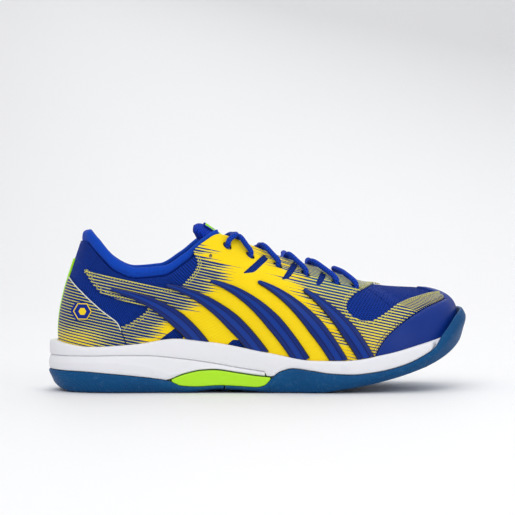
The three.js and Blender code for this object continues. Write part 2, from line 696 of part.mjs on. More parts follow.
function sidePanel(name) {
  const side = SIDES[name];
  let panel = toManifold(sideLayer(side, 0.045, 0.955, 0, 1, GLUE, OVERLAY_TOP)).intersect(prism(SIDE_PANEL, side));
  for (const hole of [...LACE_SLOTS, ...SOLE_WINDOWS]) panel = panel.subtract(prism(hole, side));
  return drilled(fromManifold(panel), name);
}

const HEEL_STRIP_REACH = 0.016;
function heelPanel(name) {
  const side = SIDES[name];
  const layer = sideLayer(side, HEEL_STRIP_REACH + SEAM, stationAt(80), 0, 1, GLUE, OVERLAY_TOP);
  return fromManifold(toManifold(layer).intersect(prism(HEEL_PANEL, side)));
}

function toeCap() {
  const layer = endLayer(1, stationAt(219), 0, 0.9, GLUE, OVERLAY_TOP);
  return fromManifold(toManifold(layer).intersect(prism(TOE_CAP, 0)));
}

const underRoll = (station) => 1 - (ROLL_HALF_HEIGHT + 2 * GLUE) / (3 * crestFall(station));
const collarTop = (station) => (station < THROAT_TOP ? underRoll(station) : 1);

function quarterMesh(name) {
  const layer = sideLayer(SIDES[name], SEAM, VAMP_START - SEAM, 0, collarTop, -MESH, 0);
  return drilled(layer, name);
}

function quarterLining(name) {
  const layer = sideLayer(SIDES[name], SEAM, VAMP_START - SEAM, 0, collarTop, LINING_BASE, LINING_TOP);
  return drilled(layer, name);
}

const EYESTAY_LOW = 0.62; // rise of the tape's lower edge, and of the collar foam's
function eyestayTape(name) {
  const end = VAMP_START - SEAM;
  const layer = sideLayer(SIDES[name], stationAt(160), end, EYESTAY_LOW, 1, STIFFENER_BASE, STIFFENER_TOP);
  return drilled(layer, name);
}

function collarFoam(name) {
  return sideLayer(SIDES[name], 0.045, THROAT_TOP, EYESTAY_LOW, underRoll, STIFFENER_BASE, STIFFENER_TOP);
}

// ---- Padded roll along the collar ----
const ROLL_SIDES = 10;
const ROLL_HEEL_EXTRA = 1.4; // the roll is wider behind the heel, over the first 9% of the way round
function collarRoll() {
  const reach = between(0, THROAT_TOP - 0.002);
  const loop = [
    ...[...reach].reverse().map((s) => around(MEDIAL, s)),
    ...reach.slice(1).map((s) => around(LATERAL, s)),
  ];
  const angles = Array.from({ length: ROLL_SIDES }, (_, i) => (i / ROLL_SIDES) * 2 * Math.PI);
  return loft(
    loop.map((u) => {
      const centre = surface(u, 1);
      const out = outward(u);
      const heel = Math.max(0, 1 - Math.min(u, 1 - u) / 0.09);
      const wide = ROLL_HALF_WIDTH + ROLL_HEEL_EXTRA * heel;
      centre.addScaledVector(out, -0.2 - wide);
      centre.z += 0.3;
      return angles.map((t) => {
        const p = centre.clone().addScaledVector(out, wide * Math.cos(t));
        return p.setZ(p.z + ROLL_HALF_HEIGHT * Math.sin(t));
      });
    }),
  );
}

// ---- Ribs that stiffen the midfoot: nested crescents, each from a point down to a broad foot at the sole ----
const RIBS = [
  [[44, 72], [84, 65], [108, 32]],
  [[82, 75], [120, 67], [149, 26]],
  [[113, 78], [148, 69], [177, 22]],
  [[146, 77], [178, 64], [203, 21]],
  [[178, 71], [204, 55], [222, 22]],
];
const rimPattern = (x) => [x, ((lipTop(x * gradeX) + 0.5) * BASE_TOP) / topHeight];
const ABOVE_RIM = [...Array.from({ length: 21 }, (_, i) => rimPattern(40 + 10 * i)), [240, 120], [40, 120]];
const RIB_FOOT_WIDTH = 11.5;
const RIB_TIP_WIDTH = 2.4;
const RIB_STEPS = 9;

function rib(name, [tip, bend, foot]) {
  const side = SIDES[name];
  const curve = new THREE.QuadraticBezierCurve(
    new THREE.Vector2(...tip),
    new THREE.Vector2(...bend),
    new THREE.Vector2(...foot),
  );
  const sections = [];
  for (let i = 0; i <= RIB_STEPS; i++) {
    const t = i / RIB_STEPS;
    const p = curve.getPoint(t);
    const d = curve.getTangent(t);
    const half = (RIB_TIP_WIDTH + (RIB_FOOT_WIDTH - RIB_TIP_WIDTH) * Math.min(1, 1.5 * t)) / 2;
    const at = [-1, 0, 1].map((k) => locate(p.x - k * d.y * half, p.y + k * d.x * half));
    const lift = (q, depth) => skin(around(side, q.station), q.rise, depth);
    sections.push([
      ...at.map((q, k) => lift(q, RIB_BASE + RIB_HEIGHT * (k === 1 ? 1 : 0.55))),
      ...at.map((q) => lift(q, RIB_BASE)).reverse(),
    ]);
  }
  return fromManifold(toManifold(loft(sections)).intersect(prism(ABOVE_RIM, side)));
}

// ---- Heel trim ----
function heelStrip() {
  return endLayer(0, HEEL_STRIP_REACH, 0.12, 0.78, GLUE, OVERLAY_TOP);
}

const BADGE = [24, 57];
const BADGE_RADIUS = 7;
function heelBadge(name) {
  const side = SIDES[name];
  const ring = (radius, depth) =>
    Array.from({ length: 6 }, (_, i) => {
      const t = (i / 6) * 2 * Math.PI;
      const q = locate(BADGE[0] + radius * Math.cos(t), BADGE[1] + radius * Math.sin(t));
      return skin(around(side, q.station), q.rise, depth);
    });
  return loft([ring(BADGE_RADIUS, RIB_BASE), ring(BADGE_RADIUS, RIB_BASE + 0.7)]);
}

// ---- Tongue ----
// Upper face along its middle: below the eyestay by a drop that varies by station, then free above it.
const TONGUE_UNDER = [
  [0.865, 3.2], [0.84, 3], [0.815, 1], [0.79, -1.7], [0.76, -1.7], [0.69, 0.7], [0.62, 1.8],
  [0.56, 2.6], [0.53, 4.6],
];
const TONGUE_FREE = [[-1, 1.5], [-9, 7], [-15.5, 9.6]];
const tongueDrop = TONGUE_CLEAR + 2 * LACE_RADIUS;
const tongueSpine = new THREE.CatmullRomCurve3([
  ...TONGUE_UNDER.map(([s, rise]) => {
    const x = crestX(s);
    return new THREE.Vector3(x, spine(x), bedLine(x) + crestHeight(s) - tongueDrop + rise);
  }),
  ...TONGUE_FREE.map(([dx, dz]) => {
    const x = crestX(THROAT_TOP);
    return new THREE.Vector3(x + dx, spine(x), bedLine(x) + crestHeight(THROAT_TOP) + dz);
  }),
]);
const tongueHalf = profile([[0, 0.62], [0.15, 0.9], [0.4, 1], [0.75, 1], [0.86, 0.86], [0.95, 0.8], [1, 0.66]]);
const tongueThick = profile([[0, 0.45], [0.2, 0.62], [0.5, 0.85], [0.8, 1.2], [0.93, 1.35], [1, 0.7]]);
const TONGUE_ARCH = 30; // radius of the tongue's crown across the foot

const tongueWidth = (s) => TONGUE_HALF_WIDTH * gradeY * tongueHalf(s);

// Point of the tongue: s along it from the base, w from -1 to 1 across, depth below its upper face.
function tonguePoint(s, w, depth) {
  const p = tongueSpine.getPointAt(s);
  const t = tongueSpine.getTangentAt(s);
  const down = new THREE.Vector3(t.z, 0, -t.x).multiplyScalar(t.x < 0 ? -1 : 1);
  const half = tongueWidth(s);
  const angle = (w * half) / TONGUE_ARCH;
  const radius = TONGUE_ARCH - depth;
  const sag = TONGUE_ARCH - radius * Math.cos(angle);
  return p.clone().addScaledVector(down, sag).add(new THREE.Vector3(0, radius * Math.sin(angle), 0));
}

const TONGUE_WS = [-1, -0.66, -0.33, 0, 0.33, 0.66, 1];
const TONGUE_STEPS = [
  0, 0.02, 0.06, 0.1, 0.14, 0.19, 0.26, 0.34, 0.42, 0.5, 0.58, 0.66, 0.74, 0.82, 0.89, 0.95, 0.985, 1,
];
function tongueLayer(steps, from, to) {
  return loft(
    steps.map((s) => {
      const total = (w) => TONGUE_THICKNESS * tongueThick(s) * (1 - 0.55 * w * w);
      const face = (depth) => TONGUE_WS.map((w) => tonguePoint(s, w, depth(total(w))));
      return [...face(from), ...face(to).reverse()];
    }),
  );
}
const foamFrom = TONGUE_SKIN + GLUE;
const foamTo = (total) => Math.max(total - TONGUE_SKIN - GLUE, foamFrom + 0.4);
const tongueFace = () => tongueLayer(TONGUE_STEPS, () => 0, () => TONGUE_SKIN);
const tongueFoam = () => tongueLayer(TONGUE_STEPS.slice(1, -1), () => foamFrom, foamTo);
const tongueLining = () =>
  tongueLayer(TONGUE_STEPS, (t) => foamTo(t) + GLUE, (t) => foamTo(t) + GLUE + TONGUE_SKIN);

function tongueLabel() {
  const length = tongueSpine.getLength();
  const end = 0.955;
  const start = end - LABEL_LENGTH / length;
  const sections = [];
  for (let i = 0; i <= 4; i++) {
    const s = start + ((end - start) * i) / 4;
    const reach = LABEL_WIDTH / 2 / tongueWidth(s);
    const ws = [-1, -0.5, 0, 0.5, 1].map((w) => w * reach);
    sections.push([
      ...ws.map((w) => tonguePoint(s, w, -GLUE - 0.8)),
      ...ws.map((w) => tonguePoint(s, w, -GLUE)).reverse(),
    ]);
  }
  return loft(sections);
}

// ---- Lace ----
const OVER = OVERLAY_TOP + GLUE + LACE_RADIUS + 0.7; // centre of the lace where it lies on the eyestay
const UNDER = LINING_BASE - GLUE - LACE_RADIUS - 0.4; // and where it runs behind it
const eye = (side, i, depth, ds = 0, dv = 0) =>
  skin(around(side, eyelets[i].station + ds), Math.min(eyelets[i].rise + dv, 1), depth);

// Straight through an eyelet, from outside to inside.
const core = (side, i) => [eye(side, i, OVERLAY_TOP + 1.4), eye(side, i, LINING_BASE - 1.4)];

function tongueHeight(x) {
  let low = 0;
  let high = 1;
  for (let i = 0; i < 30; i++) {
    const mid = (low + high) / 2;
    if (tongueSpine.getPoint(mid).x > x) low = mid;
    else high = mid;
  }
  return tongueSpine.getPoint(low).z;
}

// Point on the middle line between rows i and j, lying on the tongue or on the strand that lies on it.
function crossing(i, j, share, strand) {
  const x = crestX(eyelets[i].station * (1 - share) + eyelets[j].station * share);
  return new THREE.Vector3(x, spine(x), tongueHeight(x) + LACE_RADIUS + 1 + strand * (2 * LACE_RADIUS + 0.5));
}

// The free end of the lace, tucked between the tongue's edge and the quarter: [stations ahead, rise, depth].
const TAIL = [
  [0.21, -0.36, -7.2], [0.17, -0.35, -7.1], [0.135, -0.34, -6.9], [0.1, -0.31, -6.9], [0.065, -0.26, -6.9],
  [0.035, -0.17, -7], [0.014, -0.07, -6.8],
];
const edge = (i) => 1 - eyelets[i].rise; // rise from an eyelet to the edge of the eyestay
const LEAD = 0.02; // how far back or forward the lace leans there, in stations

// Over the eyestay from an eyelet to its edge, leaning back (-1) or forward (1), and the same behind it.
const outside = (side, i, lean) => [
  eye(side, i, OVER - 0.3, 0, 0.14 * edge(i)),
  eye(side, i, OVER + 0.2, 0.3 * lean * LEAD, 0.45 * edge(i)),
  eye(side, i, OVER + 0.4, lean * LEAD, edge(i)),
];
const behind = (side, i, lean) => [
  eye(side, i, UNDER - 0.3, 0.3 * lean * LEAD, 0.35 * edge(i)),
  eye(side, i, UNDER - 0.1, 0.9 * lean * LEAD, edge(i)),
];

// One half of the lace, from its end through the eyelets down to the front row.
function strand(first) {
  const points = TAIL.map(([ds, dv, depth]) => eye(first, 0, depth, ds, dv));
  points.push(...core(first, 0).reverse(), ...outside(first, 0, 1));
  const level = first === LATERAL ? 1 : 0;
  let side = first;
  for (let row = 1; row < 5; row++) {
    points.push(crossing(row - 1, row, 0.55, level));
    side = -side;
    points.push(...outside(side, row, -1).reverse(), ...core(side, row), ...behind(side, row, 1));
  }
  points.push(crossing(4, 5, 0.5, level));
  side = -side;
  points.push(...behind(side, 5, -0.4).reverse(), ...core(side, 5).reverse());
  points.push(eye(side, 5, OVER, 0, 0.5 * edge(5)));
  return points;
}

const barX = crestX(eyelets[5].station);
const BAR = new THREE.Vector3(barX, spine(barX), bedLine(barX) + crestHeight(eyelets[5].station) + OVER);
const laceCurve = new THREE.CatmullRomCurve3(
  [...strand(LATERAL), BAR, ...strand(MEDIAL).reverse()],
  false,
  "centripetal",
);
laceCurve.arcLengthDivisions = 4000;
const LACE_STEPS = 150;

function laceTube() {
  const section = new THREE.Shape(
    Array.from({ length: 6 }, (_, k) => {
      const t = (k / 6) * 2 * Math.PI;
      return new THREE.Vector2(LACE_RADIUS * Math.cos(t), LACE_RADIUS * Math.sin(t));
    }),
  );
  return new THREE.ExtrudeGeometry(section, { steps: LACE_STEPS, extrudePath: laceCurve, bevelEnabled: false });
}

function aglet(share, away) {
  const end = laceCurve.getPointAt(share);
  const along = laceCurve.getTangentAt(share).multiplyScalar(away);
  const turn = new THREE.Quaternion().setFromUnitVectors(new THREE.Vector3(0, 1, 0), along);
  const middle = end.addScaledVector(along, GLUE + AGLET_LENGTH / 2);
  return new THREE.CylinderGeometry(AGLET_RADIUS, AGLET_RADIUS, AGLET_LENGTH, 8)
    .applyQuaternion(turn)
    .translate(middle.x, middle.y, middle.z);
}

// ---- Assembly ----
const model = new THREE.Group();
function add(name, geometry, color, roughness, metalness = 0) {
  const mesh = new THREE.Mesh(geometry, new THREE.MeshStandardMaterial({ color, roughness, metalness }));
  mesh.name = name;
  model.add(mesh);
  return mesh;
}
const RUBBER = 0x0b4a86;
const FOAM_WHITE = 0xe9e8ec;
const LIME = 0xb4f000;
const BLUE = 0x0a2fb0;
const DEEP_BLUE = 0x07218c;
const YELLOW = 0xffd800;

add("outsole_heel", treadPiece(0, TREAD_SPLIT - FLEX_GAP), RUBBER, 0.45);
add("outsole_forefoot", treadPiece(TREAD_SPLIT + FLEX_GAP, 1), RUBBER, 0.45);
add("midfoot_shank", shankPiece(), LIME, 0.35);
const pocket = toManifold(gelPocket());
add("midsole_wedge", fromManifold(toManifold(wedgePiece()).subtract(pocket)), FOAM_WHITE, 0.6);
add("midsole_carrier", carrierPiece(), FOAM_WHITE, 0.6);
add("heel_gel_pad", gelBlock(), 0x9fc7e8, 0.2);
add("lasting_board", lastingBoard(), 0xd8d2c4, 0.9);
add("sockliner_foam", sockFoam(), 0x1a2f7a, 0.9);
add("sockliner_cover", sockCover(), 0x0c2a9a, 0.95);

add("vamp_mesh", vampLayer(VAMP_START + SEAM, -MESH, 0), BLUE, 0.85);
add("vamp_lining", vampLayer(VAMP_START + SEAM, LINING_BASE, LINING_TOP), 0x1b3fae, 0.95);
add("toe_puff", endLayer(1, TOE_START, 0, 0.78, STIFFENER_BASE, STIFFENER_TOP), 0xcfc8b8, 0.8);
add("heel_counter", endLayer(0, stationAt(60), 0, 0.6, STIFFENER_BASE, STIFFENER_TOP), 0xd6d0c0, 0.7);
add("toe_cap", toeCap(), DEEP_BLUE, 0.5);
add("heel_strip", heelStrip(), LIME, 0.5);
add("collar_roll", collarRoll(), BLUE, 0.9);

for (const name of Object.keys(SIDES)) {
  add(`quarter_mesh_${name}`, quarterMesh(name), BLUE, 0.85);
  add(`quarter_lining_${name}`, quarterLining(name), 0x1b3fae, 0.95);
  add(`eyestay_tape_${name}`, eyestayTape(name), 0xe8e4da, 0.8);
  add(`collar_foam_${name}`, collarFoam(name), 0xf0e6b0, 0.95);
  add(`side_panel_${name}`, sidePanel(name), YELLOW, 0.5);
  add(`heel_panel_${name}`, heelPanel(name), DEEP_BLUE, 0.5);
  add(`heel_badge_${name}`, heelBadge(name), YELLOW, 0.4);
  RIBS.forEach((line, i) => add(`support_rib_${name}_${i + 1}`, rib(name, line), DEEP_BLUE, 0.4));
}

add("tongue_face", tongueFace(), BLUE, 0.9);
add("tongue_foam", tongueFoam(), 0xf0e6b0, 0.95);
add("tongue_lining", tongueLining(), 0x1b3fae, 0.95);
add("tongue_label", tongueLabel(), LIME, 0.6);

add("lace", laceTube(), BLUE, 0.8);
add("aglet_lateral", aglet(0, -1), 0xdfe6f2, 0.2);
add("aglet_medial", aglet(1, 1), 0xdfe6f2, 0.2);

// The origin is the middle of the footprint, on the floor.
model.updateMatrixWorld(true);
const box = new THREE.Box3().setFromObject(model);
model.position.set(-(box.min.x + box.max.x) / 2, -(box.min.y + box.max.y) / 2, -box.min.z);

export default model;
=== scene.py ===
"""Indoor court shoe for the right foot: the looks of every piece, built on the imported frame.

Shapes are worked out in millimetres along the shoe, x 0 at the back of the heel, and placed on the frame.
"""

import math
from functools import partialmethod

import bmesh
import bpy
import numpy as np
from mathutils import Matrix, Vector, geometry, kdtree


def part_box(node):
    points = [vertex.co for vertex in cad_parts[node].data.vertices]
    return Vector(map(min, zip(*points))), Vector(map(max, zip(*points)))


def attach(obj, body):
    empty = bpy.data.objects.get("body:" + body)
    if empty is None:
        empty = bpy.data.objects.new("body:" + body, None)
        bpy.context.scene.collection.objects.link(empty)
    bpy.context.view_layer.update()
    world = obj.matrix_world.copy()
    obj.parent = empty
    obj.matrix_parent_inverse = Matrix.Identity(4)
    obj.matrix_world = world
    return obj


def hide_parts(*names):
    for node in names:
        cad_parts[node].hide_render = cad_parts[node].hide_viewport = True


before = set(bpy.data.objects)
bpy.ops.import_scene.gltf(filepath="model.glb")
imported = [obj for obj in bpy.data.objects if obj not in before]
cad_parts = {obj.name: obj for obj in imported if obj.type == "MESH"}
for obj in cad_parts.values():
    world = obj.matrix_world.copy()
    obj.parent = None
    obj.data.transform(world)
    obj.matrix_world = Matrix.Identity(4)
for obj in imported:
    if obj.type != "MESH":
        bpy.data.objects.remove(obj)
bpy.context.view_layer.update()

# ---- Outsole ----
# Two treads of non-marking rubber, glued up the sides of the midsole. The front one climbs over the toe as a
# bumper. Small six-sided lugs stand on the soles, and the side walls have a fine diamond texture.
LATERAL, MEDIAL = -1, 1
TREAD_FLOOR = 4.0
TREAD_WALL = 2.6
TOE_BUMPER = 1.9
TOE_LEAN = 2.9
TREAD_BEVEL = 7.0
LUG_HEIGHT = 1.3
LUG_SIZE = (5.6, 4.6, LUG_HEIGHT * 0.9)
LUG_ROW, LUG_SPACING, LUG_MARGIN = 6.6, 5.8, 3.5
DIAMOND_PITCH = 1.7
GLUE = 0.3


def smooth_line(*points):
    """Height, width or share that follows a length, through these pairs without overshoot."""
    xs, ys = np.array(points, float).T
    slope = np.diff(ys) / np.diff(xs)
    a, b = slope[:-1], slope[1:]
    both = np.where(np.abs(a + b) > 1e-9, a + b, 1.0)
    inner = np.where(a * b <= 0, 0.0, 2 * a * b / both)
    tangent = np.concatenate([slope[:1], inner, slope[-1:]])

    def at(x):
        x = np.clip(x, xs[0], xs[-1])
        i = np.clip(np.searchsorted(xs, x, side="right") - 1, 0, len(xs) - 2)
        h = xs[i + 1] - xs[i]
        t = (x - xs[i]) / h
        s = t * t * (3 - 2 * t)
        bow = tangent[i] * t * (1 - t) ** 2 - tangent[i + 1] * t * t * (1 - t)
        return ys[i] * (1 - s) + ys[i + 1] * s + h * bow

    return at


def flowing(points, closed=False, per=60):
    """Fine points of one smooth curve through a few chosen ones."""
    p = np.array(points, float)
    if closed:
        p = np.vstack([p[-1:], p, p[:2]])
    else:
        p = np.vstack([2 * p[0] - p[1], p, 2 * p[-1] - p[-2]])
    t = np.linspace(0, 1, per, endpoint=False)[:, None]
    runs = []
    for k in range(1, len(p) - 2):
        a, b, c, d = p[k - 1 : k + 3]
        ab, bc, cd = (max(np.sum((m - n) ** 2) ** 0.25, 1e-4) for m, n in ((a, b), (b, c), (c, d)))
        leave = ((b - a) / ab - (c - a) / (ab + bc) + (c - b) / bc) * bc
        arrive = ((c - b) / bc - (d - b) / (bc + cd) + (d - c) / cd) * bc
        square = 3 * (c - b) - 2 * leave - arrive
        cube = 2 * (b - c) + leave + arrive
        runs.append(b + t * leave + t**2 * square + t**3 * cube)
    return np.vstack([*runs, p[-2:-1]])


def lengths_along(points):
    steps = np.linalg.norm(np.diff(points, axis=0), axis=1)
    return np.concatenate([[0], np.cumsum(steps)])


def follow(at, along, values):
    """Each column of the values, read off at these lengths."""
    return np.stack([np.interp(at, along, column) for column in np.transpose(values)], axis=-1)


OUTER_PLAN = [
    (0, 0), (10, -24), (35, -37), (75, -38.5), (120, -40), (165, -47.5),
    (200, -53), (236, -51), (264, -42.5), (286, -29), (297, -11.5),
]
INNER_PLAN = [
    (297.5, 27), (287, 41), (266, 50), (238, 53), (210, 52.5), (180, 46.5),
    (150, 38.5), (120, 35), (75, 37), (35, 37), (10, 24),
]
PLAN_STEPS = 200
plan = flowing([*OUTER_PLAN, (300, 8), *INNER_PLAN], closed=True, per=PLAN_STEPS)
plan_share = lengths_along(plan)
plan_share /= plan_share[-1]
plan_way = np.gradient(plan, plan_share, axis=0)
plan_way[0] = plan_way[-1] = plan_way[0] + plan_way[-1]
plan_way /= np.linalg.norm(plan_way, axis=1)[:, None]
toe_share = plan_share[len(OUTER_PLAN) * PLAN_STEPS]


def around(side, station):
    """Share of the way round the plan for a side and a station, 0 at the heel and 1 at the toe."""
    station = np.asarray(station, float)
    return np.where(side == LATERAL, station * toe_share, 1 - station * (1 - toe_share))


def plan_at(u, inset=0.0):
    """x, y, and the outward direction, of a point inside the plan's edge."""
    u = np.mod(u, 1.0)
    x, y = (np.interp(u, plan_share, plan[:, i]) for i in (0, 1))
    wx, wy = (np.interp(u, plan_share, plan_way[:, i]) for i in (0, 1))
    return x - wy * inset, y + wx * inset, wy, -wx


fine = np.linspace(0, 1, 4001)
fine_x = plan_at(around(LATERAL, fine))[0]
stations_by_x = np.maximum.accumulate(fine_x)


def station_at(x):
    return float(np.interp(x, stations_by_x, fine))


tread_line = smooth_line(
    (0, 12), (3.7, 5.2), (10, 1.6), (19, 0), (95, 0), (119, 2.3), (140, 1.4), (158, 0), (187, 0),
    (207, 2.5), (226, 6), (247, 11.2), (266, 17.4), (278, 22.8), (287, 28.4), (295, 35), (300, 43),
)
rubber_line = smooth_line(
    (0, 15.2), (23, 14.8), (40, 13.6), (57, 12), (74, 10), (84, 8.4), (93, 4.9), (103, 4.4), (120, 5.2),
    (132, 4.7), (145, 4.1), (150, 5.2), (155.5, 10.5), (161.5, 15), (170, 17.1), (182, 15.6), (195, 13.6),
    (211, 12.8), (226, 14.2), (247, 18.8), (264, 26), (272, 31.5), (277, 39), (282, 44.5), (287.5, 51),
    (292, 54.7), (297, 57.5), (300, 57.5),
)
TREAD_SPLIT = station_at(122.5)
at_toe = smooth_line((0, 0), (station_at(264), 0), (station_at(290), 1), (1.001, 1))


def floor_top(x):
    return np.minimum(tread_line(x) + TREAD_FLOOR, rubber_line(x))


def top_inset(s):
    return 0.5 + (TOE_LEAN - 0.5) * at_toe(s)


def inside_wall(s):
    return top_inset(s) + TREAD_WALL + (TOE_BUMPER - TREAD_WALL) * at_toe(s)


def sole_line(inset, height):
    """A line along one side of the sole: how far inside the plan it runs, and how high."""

    def at(side, s):
        x, y, _, _ = plan_at(around(side, s), inset(s) if callable(inset) else inset)
        return np.stack([x, y, height(x)], axis=-1)

    return at


outsole_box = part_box("outsole_forefoot")
place = Vector((outsole_box[1].x * 1000 - 299.8, (outsole_box[0].y + outsole_box[1].y) * 500, 0))
place.y -= (plan[:, 1].min() + plan[:, 1].max()) / 2


def new_piece(name, points, faces, material, slot, body="shoe", uv=None, angle=40, nodes=None):
    """A mesh in the frame from points in millimetres, riding on a body and standing for its CAD nodes.

    Without a list of nodes it stands for the node of its own name, if there is one.
    """
    if nodes is None:
        nodes = [name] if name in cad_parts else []
    mesh = bpy.data.meshes.new(name)
    metres = (np.asarray(points, float).reshape(-1, 3) + np.array(place)) / 1000
    mesh.from_pydata(metres.tolist(), [], [tuple(int(i) for i in f) for f in faces])
    if uv is not None:
        layer = mesh.uv_layers.new(name="UVMap")
        loops = np.zeros(len(mesh.loops), int)
        mesh.loops.foreach_get("vertex_index", loops)
        layer.data.foreach_set("uv", (np.asarray(uv, float).reshape(-1, 2)[loops] / 1000).ravel())
    work = bmesh.new()
    work.from_mesh(mesh)
    bmesh.ops.remove_doubles(work, verts=work.verts, dist=2e-6)
    bmesh.ops.dissolve_degenerate(work, edges=work.edges, dist=1e-7)
    bmesh.ops.recalc_face_normals(work, faces=work.faces)
    work.to_mesh(mesh)
    work.free()
    mesh.shade_smooth()
    mesh.set_sharp_from_angle(angle=math.radians(angle))
    piece = bpy.data.objects.new(name + "_visual" if name in nodes else name, mesh)
    bpy.context.scene.collection.objects.link(piece)
    mesh.materials.append(material)
    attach(piece, body)
    if nodes:
        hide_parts(*nodes)
    return piece


def bent(corners, smooth, per=5):
    """Section points run through the corners: smooth over the first ones, straight after them."""
    first = np.stack([flowing(row, per=per) for row in corners[:, :smooth]])
    return np.concatenate([first, corners[:, smooth:]], axis=1)


def hoops(rows, width, capped=True):
    """Faces between rings of points, and over the first and the last."""
    faces = []
    for r in range(rows - 1):
        for c in range(width):
            d = (c + 1) % width
            faces.append((r * width + c, r * width + d, (r + 1) * width + d, (r + 1) * width + c))
    if capped:
        faces += [tuple(range(width))[::-1], tuple((rows - 1) * width + c for c in range(width))]
    return faces


def slab(top, bottom, open_end=False):
    """Points and faces of a plate between two grids of points, closed round its edges."""
    rows, cols = top.shape[:2]
    n = rows * cols
    index = np.arange(n).reshape(rows, cols)
    faces = []
    for a in index[:-1, :-1].ravel():
        faces.append((a, a + 1, a + cols + 1, a + cols))
        faces.append((n + a, n + a + cols, n + a + cols + 1, n + a + 1))
    runs = [index[0], index[:, -1], index[-1, ::-1], index[::-1, 0]]
    if open_end:
        del runs[2]
    for run in runs:
        faces += [(b, a, a + n, b + n) for a, b in zip(run, run[1:])]
    return np.vstack([top.reshape(-1, 3), bottom.reshape(-1, 3)]), faces


def sole_body(s, lines, smooth, rows=13):
    """Points and faces of a solid with the same half section on both sides of the shoe, at these stations."""
    corners = [np.stack([at(side, s) for at in lines], axis=1) for side in (LATERAL, MEDIAL)]
    halves = [bent(half, smooth) for half in corners]
    share = np.linspace(0, 1, rows)[1:-1, None]

    def bridge(a, b):
        return a[:, None] * (1 - share) + b[:, None] * share

    under = bridge(halves[1][:, 0], halves[0][:, 0])
    over = bridge(halves[0][:, -1], halves[1][:, -1])
    ring = np.concatenate([halves[0], over, halves[1][:, ::-1], under], axis=1)
    count, width = ring.shape[:2]
    faces = hoops(count, width, capped=False)
    across = halves[0].shape[1]
    for r in (0, count - 1):
        left = [r * width + i for i in range(across)]
        right = [r * width + across + rows - 2 + across - 1 - i for i in range(across)]
        bottom = [r * width + 2 * across + rows - 2 + i for i in range(rows - 2)][::-1]
        top = [r * width + across + i for i in range(rows - 2)]
        if np.linalg.norm(halves[0][r, 0] - halves[1][r, 0]) > 0.01:
            faces.append((*left, *top, *right[::-1], *bottom[::-1]))
    return ring.reshape(-1, 3), faces


class Finish:
    """A material's node tree under construction."""

    def __init__(self, name, **shader):
        self.material = bpy.data.materials.new(name)
        self.material.use_nodes = True
        self.tree = self.material.node_tree
        self.shader = self.tree.nodes["Principled BSDF"]
        for key, value in shader.items():
            self.set(self.shader, key.replace("_", " "), value)

    def set(self, node, key, value):
        socket = node.inputs[key]
        if isinstance(value, bpy.types.NodeSocket):
            self.tree.links.new(value, socket)
        elif isinstance(value, (tuple, list)) and len(value) == 3 and socket.type == "RGBA":
            socket.default_value = (*value, 1)
        else:
            socket.default_value = value

    def add(self, kind, inputs=None, output=0, **settings):
        node = self.tree.nodes.new("ShaderNode" + kind)
        for key, value in settings.items():
            setattr(node, key, value)
        for key, value in (inputs or {}).items():
            self.set(node, key, value)
        return node.outputs[output]

    def math(self, operation, a, b=0.0, c=0.0):
        node = self.tree.nodes.new("ShaderNodeMath")
        node.operation = operation
        for i, value in enumerate((a, b, c)):
            self.set(node, i, value)
        return node.outputs[0]

    plus = partialmethod(math, "ADD")
    minus = partialmethod(math, "SUBTRACT")
    times = partialmethod(math, "MULTIPLY")
    over = partialmethod(math, "DIVIDE")
    scaled = partialmethod(math, "MULTIPLY_ADD")
    size = partialmethod(math, "ABSOLUTE")
    most = partialmethod(math, "MAXIMUM")
    least = partialmethod(math, "MINIMUM")
    below = partialmethod(math, "LESS_THAN")
    above = partialmethod(math, "GREATER_THAN")
    near = partialmethod(math, "COMPARE")
    sine = partialmethod(math, "SINE")
    part = partialmethod(math, "FRACT")
    whole = partialmethod(math, "FLOOR")

    def axes(self, point, count):
        """The first axes of a point, in millimetres."""
        large = self.add("VectorMath", {0: point, "Scale": 1000.0}, operation="SCALE")
        node = self.tree.nodes.new("ShaderNodeSeparateXYZ")
        self.set(node, 0, large)
        return node.outputs[:count]

    def object_axes(self):
        """Object coordinates in millimetres, as x, y and z."""
        return self.axes(self.add("TexCoord", output=3), 3)

    def cloth_axes(self):
        """Millimetres along and up the piece's own surface."""
        return self.axes(self.add("UVMap", uv_map="UVMap"), 2)

    def noise(self, scale, detail=3.0):
        point = self.add("TexCoord", output=3)
        return self.add("TexNoise", {"Vector": point, "Scale": scale, "Detail": detail})

    def ramp(self, value, low, high, start=0.0, end=1.0):
        limits = {0: value, "From Min": low, "From Max": high, "To Min": start, "To Max": end}
        return self.add("MapRange", limits, interpolation_type="SMOOTHSTEP")

    def mix(self, share, a, b):
        node = self.tree.nodes.new("ShaderNodeMix")
        node.data_type = "RGBA"
        for key, value in ((0, share), (6, a), (7, b)):
            self.set(node, key, value)
        return node.outputs[2]

    def wave(self, value, pitch):
        """From 0 to 1 and back once in every pitch."""
        turn = self.sine(self.times(value, 2 * math.pi / pitch))
        return self.scaled(turn, 0.5, 0.5)

    def colour(self, value):
        self.set(self.shader, "Base Color", value)

    def roughness(self, value):
        self.set(self.shader, "Roughness", value)

    def relief(self, height, depth):
        bump = self.add("Bump", {"Height": height, "Distance": depth, "Strength": 1.0})
        self.set(self.shader, "Normal", bump)


